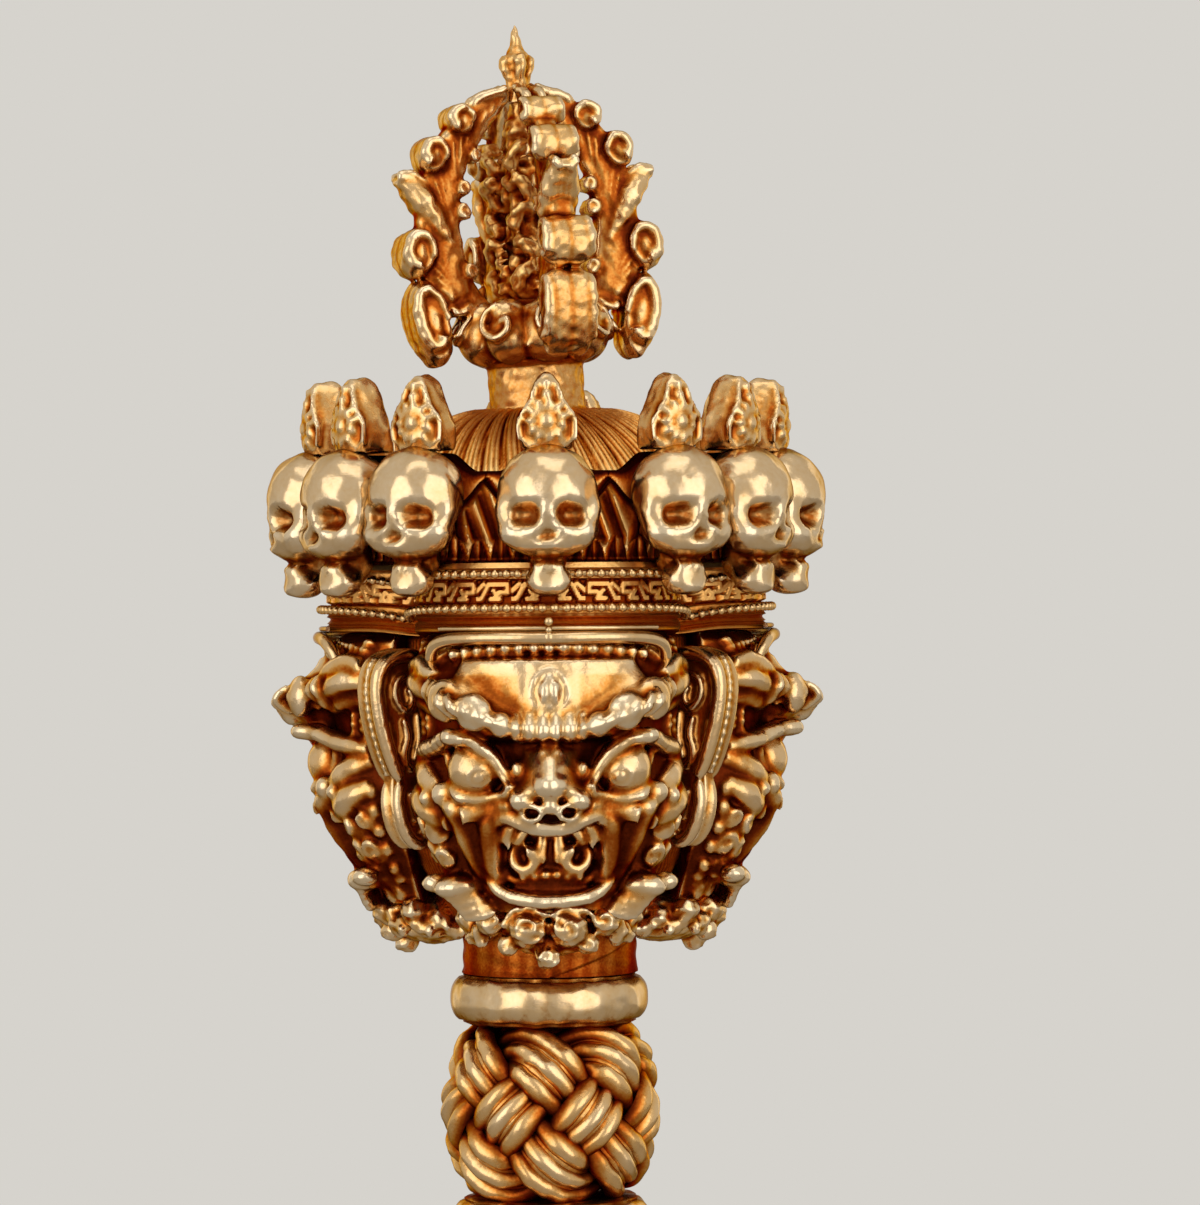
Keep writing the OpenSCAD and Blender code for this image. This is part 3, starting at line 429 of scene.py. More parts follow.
# Forged iron: dark, hammered, with a brown bloom
IRON = metal("forged_iron", "forged_iron",
             [(0.0, "#9A948A"), (0.45, "#6E6860"), (0.6, "#4A433C"), (0.9, "#2A2019")], (0.34, 0.6),
             grain_mm=0.5, grain_deep=0.04, patch=0.3, scratch=0.6)
print("finishes:", [material.name for material, _ in (GILT, BURNISHED, RECESSED, IRON)])

# %% [markdown]
# The blade is forged iron with three edges and hollow-ground sides. It is a loft: at each height the section
# is a triangle whose sides bend inwards, and its edges run to the point in a slow curve.

# %% Blade
BLADE_LEN, BLADE_EDGE_R, BLADE_HOLLOW, BLADE_TIP_R = 85.0, 13.5, 2.6, 0.5


def blade_reach(z):
    """How far an edge is from the axis: tip + (edge - tip) * sin(90 * z / length)^0.9."""
    rise = np.sin(np.pi / 2 * np.clip(z / BLADE_LEN, 0, 1)) ** 0.9
    return BLADE_TIP_R + (BLADE_EDGE_R - BLADE_TIP_R) * rise


def blade_side(x, z):
    """How far a side is from the axis at x across it: R/2 less a hollow of h (1 - (x/half)^2)."""
    reach = blade_reach(z)
    half = reach * math.sin(math.radians(60))
    return reach / 2 - BLADE_HOLLOW * reach / BLADE_EDGE_R * np.clip(1 - (x / half) ** 2, 0, 1)


def blade_form():
    """Rows in z, columns across three sides; each side is (x, -side(x, z), z) turned by 120 degrees."""
    z = np.linspace(0.02, 1, 120) ** 1.2 * (BLADE_LEN - 0.05)
    z = np.concatenate([z, [BLADE_LEN + 1.5]])[:, None]
    s = np.linspace(-1, 1, 49)[None, :-1]
    x = blade_reach(z) * math.sin(math.radians(60)) * s * 0.995
    # Hammer marks: shallow dents about 4 mm apart
    dent = 0.05 * np.sin(x * 1.7 + np.sin(z * 0.6) * 2) * np.sin(z * 1.3 + x) * (1 - s**6)
    y = -blade_side(x, z) + dent * np.minimum(1, z / 12)
    sides = []
    for turn in THIRDS:
        c, si = math.cos(math.radians(turn)), math.sin(math.radians(turn))
        sides.append(np.stack([x * c - y * si, x * si + y * c, z + 0 * x], -1))
    return closed_tube(np.concatenate(sides, 1))


dress("blade", blade_form(), IRON, crease=30)

# %% [markdown]
# A serpent lies on each side of the blade, tail towards the point. It is a round bar on a wave that widens
# with the blade, thicker at the neck, with a flat head. A ridge of scales runs along it.

# %% Serpents on the blade
NAGA_D, NAGA_SWAY, NAGA_WAVES = 1.8, 3.0, 3
NAGA_POINTS, NAGA_EYES = 420, 404     # points along the body, and the one between the eyes


def naga_form():
    """Axis x = sway(z) sin(360 waves f), z along the blade, lifted off the side by the bar's own radius."""
    f = np.linspace(0, 1, NAGA_POINTS)
    z = BLADE_LEN * (0.22 + 0.73 * f)
    x = NAGA_SWAY * (0.35 + 0.65 * z / BLADE_LEN) * np.sin(TAU * NAGA_WAVES * f)
    r = NAGA_D / 2 * (0.35 + 0.65 * ease(0, 0.25, f)) * (1 + 0.4 * np.exp(-((f - 0.96) / 0.03) ** 2))
    r = np.maximum(r * (1 - ease(0.985, 1.0, f)), 0.05)
    scales = 1 + 0.07 * np.sin(f * 190) * (f < 0.93)
    path = np.stack([x, -blade_side(x, z) - r * 0.75, z], -1)
    body = tube(path, r * scales, 16)
    head = path[NAGA_EYES]
    eyes = [ball((head[0] + side * 0.55, head[1] - 0.55, head[2]), 0.22, 8, 10) for side in (-1, 1)]
    return join(body, *eyes)


naga = naga_form()
dress("blade_nagas", thrice(naga), GILT)

# %% [markdown]
# The rings between the parts of the shaft are turned, then rubbed until they are no longer quite round. A
# lathe profile with a little wobble in its radius gives the same soft, uneven shine.

# %% Rounded rings
RING_H, RING_R = 5.0, 9.55


def ring_form(seed):
    """Belly r = R + 0.25 - 1.5 |s|^3 between two thin lips, s from -1 to 1 up the ring, plus slow waves."""
    s = np.linspace(-1, 1, 31)
    r = RING_R + 0.25 - 1.5 * np.abs(s) ** 3 - 0.35 * (np.abs(np.abs(s) - 0.86) < 0.05)
    z = RING_H / 2 * (1 + s)
    phase = seed * 1.7

    def wobble(a, z):
        slow = 0.09 * np.sin(3 * a + phase) + 0.05 * np.sin(7 * a + 2 * phase) * np.sin(z)
        return slow + 0.03 * np.sin(13 * a + z)
    return hammered(turned(np.stack([r, z], -1), 240, wobble), 0.035, 2.6, seed)


for seed, (name, z) in enumerate([("lower_ring", Z_RING1), ("grip_lower_ring", Z_RING2),
                                  ("grip_upper_ring", Z_RING3), ("neck_ring", Z_RING4)]):
    ring = ring_form(seed)
    # Painted shade: darker at both lips, where the ring turns up and down, thinning out towards the belly
    ring_edge_shade = 0.3 + 0.3 * np.abs(2 * ring[0][:, 2] / RING_H - 1.05) ** 2.2
    ring_edge_shade = ring_edge_shade + 0.05 * np.sin(3 * ring[0][:, 0] + seed)
    dress(name, moved(ring, (0, 0, z)), BURNISHED, np.clip(ring_edge_shade, 0, 1))

# %% [markdown]
# The globe knots are Turk's heads: one strand that goes four times round and touches the rims seven times,
# over and under itself by turns. The strand is a triple cord, three round ridges with thin wires between
# them. It is one section carried along a closed path on a barrel, lifted and sunk in step with the
# crossings.

# %% Globe knots
KNOT_H, KNOT_R, LEADS, BIGHTS = 17.2, 11.05, 4, 7
STRAND_W, STRAND_T, WEAVE, SWELL, KNOT_TURN = 6.5, 1.7, 0.95, 1.5, -15
KNOT_REACH = KNOT_H / 2 - STRAND_W / 2 + 0.85
KNOT_MID_R = KNOT_R - WEAVE - STRAND_T * 0.64


def crossings(j):
    """Crossings passed at step j, slower round the bends: LEADS - 1 of them in each LEADS steps."""
    n = np.floor(j / LEADS)
    u, last = j - n * LEADS, LEADS - 1
    return n * last + np.where(u < 1, (u + 1) / 2, np.where(u > last, last + (u - last) / 2, u))


def knot_path(t):
    """Point at angle t: z = reach cos(BIGHTS t / LEADS), r = middle - swell (z / reach)^2."""
    z = KNOT_REACH * np.cos(BIGHTS * t / LEADS)
    r = KNOT_MID_R - SWELL * (z / KNOT_REACH) ** 2
    return np.stack([r * np.cos(t), r * np.sin(t), z], -1)


def strand_form():
    """Section (w, h) in the frame (side, out) along the path, lift = -weave cos(180 crossings)."""
    t = np.linspace(0, TAU * LEADS, 860, endpoint=False)
    p = knot_path(t)
    out = unit(np.stack([np.cos(t), np.sin(t), 2 * SWELL * p[:, 2] / KNOT_REACH**2], -1))
    side = np.cross(out, unit(knot_path(t + 0.005) - knot_path(t - 0.005)))
    lift = -WEAVE * np.cos(math.pi * crossings(BIGHTS * t / math.pi))
    s = np.linspace(-1, 1, 43)
    # Three ridges, the outer ones a little lower, and a wire in each of the two grooves
    near = np.abs(s)[:, None] - [[0.0, 0.68]]
    ridge = STRAND_T * (np.sqrt(np.clip(1 - (near / 0.31) ** 2, 0, 1)) * [[0.68, 0.6]]).max(1)
    wire = STRAND_T * (0.14 + 0.14 * np.sqrt(np.clip(1 - ((np.abs(s) - 0.34) / 0.06) ** 2, 0, 1)))
    top = np.maximum(ridge, wire * (np.abs(s) < 0.7))
    w = np.concatenate([s, np.linspace(0.85, -0.85, 7)]) * STRAND_W / 2
    h = np.concatenate([top, np.full(7, -STRAND_T * 0.42)]) - 0.045 * w * w
    # The caster's hand: a strand is widest where it lies on top, and swells a little here and there
    fat = (0.9 + 0.1 * lift / WEAVE + 0.04 * np.sin(11 * t / LEADS + 1))[:, None]
    grid = p[:, None] + side[:, None] * (w * fat)[..., None]
    grid = grid + out[:, None] * (h * fat + lift[:, None])[..., None]
    # Darker where the strand lies low, under its crossings and between its cords: the red of unrubbed
    # gilding, darkened further as painted shade
    height = (h + lift[:, None]) / (STRAND_T * 0.68 + WEAVE)
    return hammered(closed_loop(grid), 0.05, 2.4, 5), np.clip(0.92 - 0.74 * height, 0.08, 1).ravel()


strand, strand_hollow = strand_form()
for name, z in (("lower_knot_strand", Z_KNOT1), ("upper_knot_strand", Z_KNOT2)):
    dress(name, moved(strand, (0, 0, z + KNOT_H / 2), KNOT_TURN), GILT, strand_hollow)


def knot_core_form():
    """Barrel under the strand: r = waist - swell (z / reach)^2, z from its middle."""
    s = np.linspace(-1, 1, 31)
    waist = KNOT_MID_R - WEAVE - STRAND_T * 0.36 - 0.15
    r = waist - SWELL * (s * KNOT_H / 2 / KNOT_REACH) ** 2
    return turned(np.stack([r, KNOT_H / 2 * (1 + s)], -1), 96)


# The cores show only in the gaps under the strand, so they are an even dark red-brown: painted shade over the
# red of unrubbed gilding
for name, z in (("lower_knot_core", Z_KNOT1), ("upper_knot_core", Z_KNOT2)):
    core = moved(knot_core_form(), (0, 0, z))
    dress(name, core, RECESSED, np.full(len(core[0]), 0.62))

# %% [markdown]
# The grip is waisted and fluted, so that a hand can spin it between the palms. A flute is a dip in the radius
# that repeats round the axis and fades out towards the two ends, where lotus petals close it.

# %% Grip
GRIP_H, GRIP_R, GRIP_WAIST, FLUTES = 22.1, 8.6, 1.5, 12


def grip_form():
    """r = R - waist sin(180 f) - 0.85 (1 - cos(FLUTES a / 2)^4), petals at the ends, a bead between."""
    f = np.linspace(0, 1, 91)[:, None]
    a = around(360)
    waist = GRIP_R - GRIP_WAIST * np.sin(math.pi * f)
    across = np.abs(np.cos(FLUTES * a / 2))
    end = np.abs(f - 0.5) * 2
    flute = 0.85 * (1 - across**4) * ease(0.93, 0.8, end + 0.1 * across)
    petal = 0.35 * np.clip(1 - ((1 - end) * 7.5) ** 2 - (across - 1) ** 2 * 1.6, 0, 1)
    d = (f - 0.5) * GRIP_H
    bead = 1.45 * np.sqrt(np.clip(1 - (d / 1.5) ** 2, 0, 1)) * (1 - 0.05 * np.cos(36 * a) ** 8)
    near = waist - flute
    r = np.where(np.abs(d) < 1.5, np.maximum(near, waist - 0.35 + bead), near) + petal
    return closed_tube(upright(r, a, Z_GRIP + GRIP_H * f))


dress("grip", grip_form(), GILT)

# %% [markdown]
# The blade comes out of the open jaws of a makara, a water beast with a curled trunk. One head looks out over
# each side of the blade, so the bell is made once as a lathe shape with three heads laid on it, and fused.

# %% Makara head, trunks and eyes
MAKARA_VOXEL = 0.33
INLAY_TURN, INLAY_OUT, INLAY_UP, INLAY_R = 27.0, 9.9, 13.44, 1.7


def makara_form():
    """Bell r(z) and three heads: snout, nostrils, cheeks, brows, teeth, ear curls, neck scales."""
    edge = [(10.4, 0.1), (11.7, 0.35), (11.95, 1.2), (11.6, 2.5), (10.3, 3.1), (9.6, 5.2), (9.9, 8.5),
            (9.8, 11.5), (9.0, 16.5), (8.0, 20.0), (7.8, 22.0), (8.6, 23.4), (8.5, 23.95)]
    head = [ball((0, -9.9, 6.6), (3.7, 3.2, 3.2), 24, 32), ball((0, -9.2, 10.2), (2.6, 2.6, 3.6), 20, 28)]
    brow = [(1.2, -10.9, 11.9), (2.9, -10.7, 14.6), (5.4, -9.3, 15.9), (7.2, -7.2, 14.9)]
    lid = [(2.9, -10.9, 11.3), (4.6, -10.3, 10.9), (6.5, -8.4, 12.0)]
    gum = [(0.4, -13.1, 4.2), (3.2, -11.9, 3.7), (6.4, -9.4, 4.2), (8.2, -6.6, 6.4)]
    ear = [(7.6, -5.4, 9.0), (8.8, -4.9, 11.4), (7.9, -5.4, 13.9), (6.9, -6.0, 12.4), (7.4, -6.0, 11.0)]
    for side in (-1, 1):
        head += [ball((side * 1.75, -12.4, 7.7), (1.25, 1.2, 1.2)),
                 ball((side * 5.0, -7.9, 7.0), (2.6, 2.6, 2.3))]
        head += [tapered(sided(line, side), thick, 50, 0.4, 0.5, 12)
                 for line, thick in ((brow, 0.85), (lid, 0.55), (gum, 0.7), (ear, 0.75))]
        head += [ball((side * (1.2 + 1.35 * k), -11.8 + 0.42 * k + 0.2 * k * k, 3.1), (0.5, 0.5, 0.85), 10,
                      12)
                 for k in range(4)]
        for row, scales in enumerate((4, 4, 3)):
            for k in range(scales):
                at = (side * (1.25 * k + 0.6 * (row % 2)), -8.9 + 0.34 * row + 0.11 * k * k, 17.3 + 1.3 * row)
                head.append(ball(at, (0.72, 0.55, 0.62), 10, 12))
    bell = turned(smooth_path(np.array(edge), 60), 120)
    return fuse(moved(join(bell, thrice(join(*head))), (0, 0, Z_MAKARA)), MAKARA_VOXEL, 1)


def trunk_form():
    """A ringed, tapering bar on a hook: a circle round (-13.5, z) that runs in to its middle."""
    s = np.linspace(0, 1, 160)
    a = math.radians(-20) - math.radians(390) * s
    w = 2.6 * (1 - 0.62 * ease(0.62, 1.0, s))
    path = np.stack([0 * s, -13.5 + w * np.cos(a), Z_MAKARA + 14.9 + w * np.sin(a)], -1)
    r = (1.45 - 0.7 * s) * (1 + 0.06 * np.sin(s * 120))
    return tube(path, r, 16, up=(1, 0, 0))


makara = makara_form()
dress("makara_head", makara, GILT, hollow_of(makara, 4, 40, (1.6, 0.7)))
trunk = trunk_form()
dress("makara_trunks", thrice(trunk), GILT)
inlay_z = Z_MAKARA + INLAY_UP
inlay = ball((0, -INLAY_OUT, inlay_z), INLAY_R, 18, 24)
iris = np.linspace(0, TAU, 40)
iris = np.stack([0.62 * np.cos(iris), 0 * iris - INLAY_OUT - 1.6, inlay_z + 0.62 * np.sin(iris)], -1)
inlay = join(inlay, tube(iris, 0.17, 8))
inlay = [moved(inlay, turn=turn + side * INLAY_TURN) for turn in THIRDS for side in (-1, 1)]
dress("makara_eyes", join(*inlay), BURNISHED)

# %% [markdown]
# The neck is plain, scraped and dull, and coloured dark all over as painted shade under the head. A fold of
# cloth crosses its front in a slant, a shallow step in the wax.

# %% Neck and head block
NECK_R = 8.62
BLOCK_SIDE = 10.45      # from the axis to the flat sides that carry the faces


def neck_form():
    """Column r = 8.62 with a step of 0.28 mm above a slanting line on the front right."""
    h = np.linspace(0, 5.25, 36)[:, None]
    a = around(360)
    across = (a + math.pi / 2 + math.pi) % TAU - math.pi
    fold = ease(-0.05, 0.1, h - 0.3 - 2.9 * (across - 0.1))
    fold = fold * ease(-0.05, 0.02, across) * ease(1.35, 1.1, across)
    r = NECK_R + 0.28 * fold
    r = r + 0.05 * np.sin(5 * a + 3 * h) + 0.15 * np.exp(-(h / 0.4) ** 2)
    return closed_tube(upright(r, a, Z_NECK + h))


neck = neck_form()
# Painted shade under the head: the neck is dark all over, darkest at its foot by the ring, with a slight wave
# round it
shaded_hollow = 0.55 + 0.12 * np.exp(-(neck[0][:, 2] - Z_NECK) / 0.8) + 0.05 * np.sin(4 * neck[0][:, 0])
dress("neck", neck, RECESSED, np.clip(shaded_hollow, 0, 1))


def from_face(a):
    """The angle from the middle of the nearest face, -60 to 60 degrees, in radians."""
    return (a + math.pi / 2 + math.pi / 3) % (TAU / 3) - math.pi / 3


def block_form():
    """Three-sided block, round corners: r = min(side / cos b, corner), b the angle from a side's middle."""
    a = around(960)
    b = from_face(a)
    z = np.linspace(Z_HEAD + 0.05, Z_HEAD + 14, 32)
    z = np.concatenate([z, [Z_DIADEM - 0.8, Z_DIADEM - 0.05]])[:, None]
    # The corners taper to the neck, as the hair behind the faces does, and the skin is uneven
    corner = np.interp(z, [Z_HEAD, 193, 196, 199, 202, 206, Z_DIADEM - 0.8, Z_DIADEM],
                       [9.2, 10.6, 12.4, 13.4, 13.9, 13.9, 13.9, 13.2])
    r = np.minimum(BLOCK_SIDE / np.cos(b), corner) + 0.12 * np.sin(9 * a + z) * np.sin(1.7 * z + 3 * a)
    # Combed hair shows in the gaps between the faces: ridges about 0.6 mm apart
    hair = np.abs(np.sin(60 * a + 0.8 * np.sin(0.7 * z)))
    r = r + 0.22 * hair
    form = closed_tube(upright(r, a, z))
    # Painted shade in the deep gaps between the faces: dark, a little lighter on the ridges of the hair
    return form, np.resize((0.84 - 0.3 * hair).ravel(), len(form[0]))


block, block_hollow = block_form()
dress("head_core", block, RECESSED, block_hollow)

# %% [markdown]
# Each face is a mask of wrath: knotted brows, bulging eyes under heavy lids, a third eye, a broad nose over
# an open mouth with a curled tongue, and tufts at its corners. A place on it is given as u, the way round
# the face in mm, and z, the height. The ground is a distance out from the middle of the round, a sum of soft
# hills and dips. Eyes, lids, lips and curls are bars and balls laid on it, and all is fused into one skin,
# as in a cast.

# %% The ground of the face
LOBE = 10.5                      # from the dagger's axis to the middle of each face's round, mm
FACE_R = 12.3                    # radius of the plain face
EYE_U, EYE_Z, EYE_R = 7.4, 206.4, 2.75


def egg(z):
    """Radius of the plain face by height: full at brow and cheeks, falling back to the chin."""
    return np.interp(z, [191.5, 193.5, 196.2, 198.8, 201.4, 204.5, 212, 219.5],
                     [6.9, 7.9, 9.3, 10.4, 11.8, 12.3, 12.4, 12.0])


def skin(u, z):
    """Distance of the face's ground from the middle of its round: egg(z) plus hills and dips."""
    au = np.abs(u)
    # Forehead: a proud plate with a sharp upper edge, wrinkled over the root of the nose
    h = 2.0 * band(209.6, 216.8, z, 0.35) * ease(9.2, 7.6, au) * (1 - 0.018 * (z - 213) ** 2)
    h = h + 0.6 * hill(u, z, (0, 210.0), (3.6, 1.0))
    # Brow: a heavy swelling that rises outwards and runs on round the side
    line = z - np.interp(au, [2, 5, 8, 12, 17], [210.0, 211.4, 213.3, 214.6, 215.6])
    tall = np.interp(au, [1.5, 3.5, 7, 10, 17], [0, 2.0, 3.0, 2.2, 1.2])
    wide = np.interp(au, [3, 7, 15], [1.2, 2.0, 1.8])
    h = h + tall * np.exp(-(line / wide) ** 2)
    # Nose: root, ridge, tip and wings, with two open nostrils
    h = h - 0.6 * hill(u, z, (0, 208.8), (4.6, 0.5)) + 2.9 * hill(u, z, (0, 206.8), (2.0, 2.2))
    h = h + 2.6 * hill(u, z, (0, 204.6), (2.6, 1.6)) + 2.3 * hill(au, z, (2.5, 203.5), (1.4, 1.2))
    # Eye: a deep socket, the swelling under it, and the cheekbone that runs back to the ear
    h = h - 1.3 * hill(au, z, (6.9, 206.7), (3.2, 2.5)) - 0.2 * hill(au, z, (3.3, 206.6), (1.0, 1.6))
    h = h + 1.5 * hill(au, z, (9.6, 203.0), (2.6, 1.4)) + 1.2 * hill(au, z, (13.6, 204.2), (3.0, 1.9))
    # Cheek muscle beside the mouth, with a groove on each side of it
    h = h + 2.4 * hill(au, z, (8.8, 199.6), (1.6, 3.9)) - 1.0 * hill(au, z, (11.6, 200.0), (0.9, 2.8))
    h = h + 1.6 * hill(au, z, (14.4, 199.0), (2.6, 3.2)) + 1.4 * hill(u, z, (0, 201.5), (5.0, 1.0))
    # Open mouth
    h = h - 3.6 * ease(5.7, 4.9, au) * band(194.9, 201.0, z, 0.5) + 1.4 * hill(u, z, (0, 198), (4.5, 2.5))
    return egg(z) + h * ease(19.3, 17.6, au) - 0.9 * ease(218.3, 219.3, z)


def spot(u, z, lift=0.0):
    """Point on the face: R = skin + lift at the angle u / FACE_R, as (R sin, -(LOBE + R cos), z)."""
    a, r = u / FACE_R, skin(u, z) + lift
    return np.stack(np.broadcast_arrays(r * np.sin(a), -(LOBE + r * np.cos(a)), z), -1)


def outward(u):
    """Direction straight out of the plain face at u."""
    a = u / FACE_R
    return np.stack([np.sin(a), -np.cos(a), 0 * a], -1)


def bar(places, thick, lift=0.0, flat=1.0, n=60, sides=12):
    """Bar laid on the face through (u, z) places; thick and lift run evenly through their numbers."""
    u, z = smooth_path(places, n).T
    return tube(spot(u, z, evenly(lift, n)), evenly(thick, n), sides, up=outward(u), flat=flat)


def lump(u, z, radii, lift=0.0, lean=0.0, rows=14, cols=18):
    """Ball on the face, (across, out, up) radii, leaned sideways by degrees."""
    at = spot(np.array(float(u)), np.array(float(z)), lift)
    return moved(moved(ball((0, 0, 0), radii, rows, cols), turn=lean, axis="y"), at, math.degrees(u / FACE_R))


def curl(u, z, radius, thick, start=0.0, turns=1.3, lift=0.0, hand=1, rise=0.6):
    """Spiral bar: its radius shrinks to a quarter as it turns, and it climbs to its middle."""
    s = np.linspace(0, 1, int(40 * turns) + 8)
    a, r = math.radians(start) + hand * TAU * turns * s, radius * (1 - 0.76 * s)
    at = spot(u + r * np.cos(a), z + r * np.sin(a), lift + rise * s)
    return tube(at, thick * (1 - 0.35 * s), 10, up=outward(u + 0 * s))


print("brow stands", round(float(skin(np.array([7.0]), np.array([212.8]))[0]) + LOBE, 1), "mm out")

# %% [markdown]
# An eye is a ball sunk half way into the face. The upper lid is a thick bar that hangs over it and runs on to
# the ear, the lower one is thinner, and a flat ledge of cheekbone lies under both.

# %% Eyes and brows
def eye_parts(side):
    """Eyeball, iris ring and pupil, the heavy upper lid, lower lid, ledge and the folds back to the ear."""
    a = EYE_U / FACE_R
    eye_x, eye_y = side * FACE_R * math.sin(a), LOBE + FACE_R * math.cos(a)
    parts = [ball((eye_x, -eye_y, EYE_Z), EYE_R, 32, 44)]
    v = np.linspace(0, TAU, 44)
    for ring, thick in ((1.02, 0.17), (0.3, 0.18)):
        x, z = eye_x - side * 0.25 + ring * np.cos(v), EYE_Z - 0.75 + ring * 0.86 * np.sin(v)
        out = np.sqrt(EYE_R**2 - (x - eye_x) ** 2 - (z - EYE_Z) ** 2)
        parts.append(tube(np.stack([x, -(eye_y + out), z], -1), thick, 10))
    # Upper and lower lid, ledge of the cheekbone, and two folds that run from it up to the ear
    for places, thick, lift, flat, n, sides in [
            ([(3.3, 204.4), (4.1, 205.7), (4.9, 207.1), (6.1, 208.6), (7.7, 209.5), (9.5, 209.3),
              (11.6, 208.6), (14.0, 208.2),
              (16.5, 207.8)], (0.5, 0.62, 0.72, 0.78, 0.8, 0.85, 0.95, 0.95, 0.7),
             (0.5, 1.1, 1.7, 2.2, 2.4, 1.9, 0.7, 0.3, 0.0), 1.25, 100, 16),
            ([(3.5, 204.2), (4.9, 203.8), (6.4, 203.5), (8.0, 203.8), (9.3, 204.9), (10.2, 206.4),
              (10.7, 207.9)],
             (0.42, 0.5, 0.56, 0.58, 0.58, 0.55, 0.45), (0.4, 0.8, 1.0, 0.9, 0.6, 0.5, 0.5), 1.2, 80, 14),
            ([(4.0, 202.95), (5.3, 202.75), (6.6, 202.4), (7.9, 201.9)], (0.75, 0.95, 1.0, 0.8), 0.55, 0.7,
             50, 16),
            ([(11.6, 204.4), (13.4, 205.4), (15.2, 206.3), (17.0, 206.8)], (1.0, 1.3, 1.25, 0.8), 0.0, 0.85,
             50, 12),
            ([(10.2, 201.2), (12.0, 201.9), (14.2, 203.0), (16.8, 204.2)], (0.9, 1.45, 1.4, 0.9), 0.0, 0.85,
             50, 12)]:
        parts.append(bar(sided(places, side), thick, lift, flat, n, sides))
    return join(*parts, lump(side * 2.85, 206.3, (0.65, 0.7, 0.95), 0.5, side * 20))


def brow_parts(side):
    """Brow of four swollen lumps combed with short strokes, and three locks that sweep back from it."""
    parts = []
    for u, z, wide, tall, lean, lift in [(3.6, 210.7, 1.2, 1.3, 40, -0.25), (5.5, 211.9, 1.8, 1.9, 35, -0.25),
                                         (8.3, 213.0, 2.1, 2.1, 12, -0.35),
                                         (10.9, 213.6, 1.3, 1.9, -6, -0.55)]:
        parts.append(lump(side * u, z, (wide, 1.35, tall), lift, side * lean, 20, 26))
    for u, z, lean in [(3.9, 211.0, 40), (4.8, 211.5, 37), (5.7, 212.0, 33), (6.6, 212.4, 28),
                       (7.5, 212.7, 20), (8.4, 213.0, 12), (9.3, 213.3, 5), (10.2, 213.5, -4),
                       (11.1, 213.6, -12)]:
        c, k = math.sin(math.radians(lean)), math.cos(math.radians(lean))
        stroke = sided([(u + 1.3 * c, z + 1.4 * k), (u, z), (u - 1.3 * c, z - 1.5 * k)], side)
        parts.append(bar(stroke, (0.32, 0.5, 0.34), (0.6, 1.0, 0.5), 1.0, 24, 10))
    for k, (u, z) in enumerate([(11.0, 212.4), (11.4, 214.0), (11.0, 215.6)]):
        lock = [(u, z - 0.5), (u + 1.6, z + 0.2), (u + 3.2, z + 0.5 + 0.1 * k), (u + 5.4, z + 0.2 + 0.2 * k)]
        parts.append(bar(sided(lock, side), (0.8, 1.15, 1.1, 0.7), 0.1, 0.85, 40, 12))
    for u in (0.5, 1.6, 2.6):
        wrinkle = sided([(u, 211.7), (u, 210.4), (u * 0.96, 209.2)], side)
        parts.append(bar(wrinkle, (0.4, 0.56, 0.5), (0.0, 0.15, 0.0), 1.0, 20))
    return join(*parts)


# %% [markdown]
# The mouth is a box with a broad moustache of a lip above and a thin round lip below. Inside, the tongue
# splits into two curls, and small blunt teeth stand in the lower gum.

# %% Mouth, tufts and forehead
def mouth_bar(places, depth, thick, bow=0.06, n=70, sides=12):
    """Bar in front of the mouth through (x, z) places, depth mm from the axis, bowed back by bow * x^2."""
    x, z = smooth_path(places, n).T
    return tube(np.stack([x, bow * x * x - evenly(depth, n), z], -1), evenly(thick, n), sides)


def lip(half, depth, thick, bow, n, sides=14):
    """Bar from one corner of the mouth to the other: half of it is given, from the middle out."""
    places = [(-x, z) for x, z in half[:0:-1]] + list(half)
    return mouth_bar(places, depth, thick if np.ndim(thick) == 0 else thick[:0:-1] + thick, bow, n, sides)


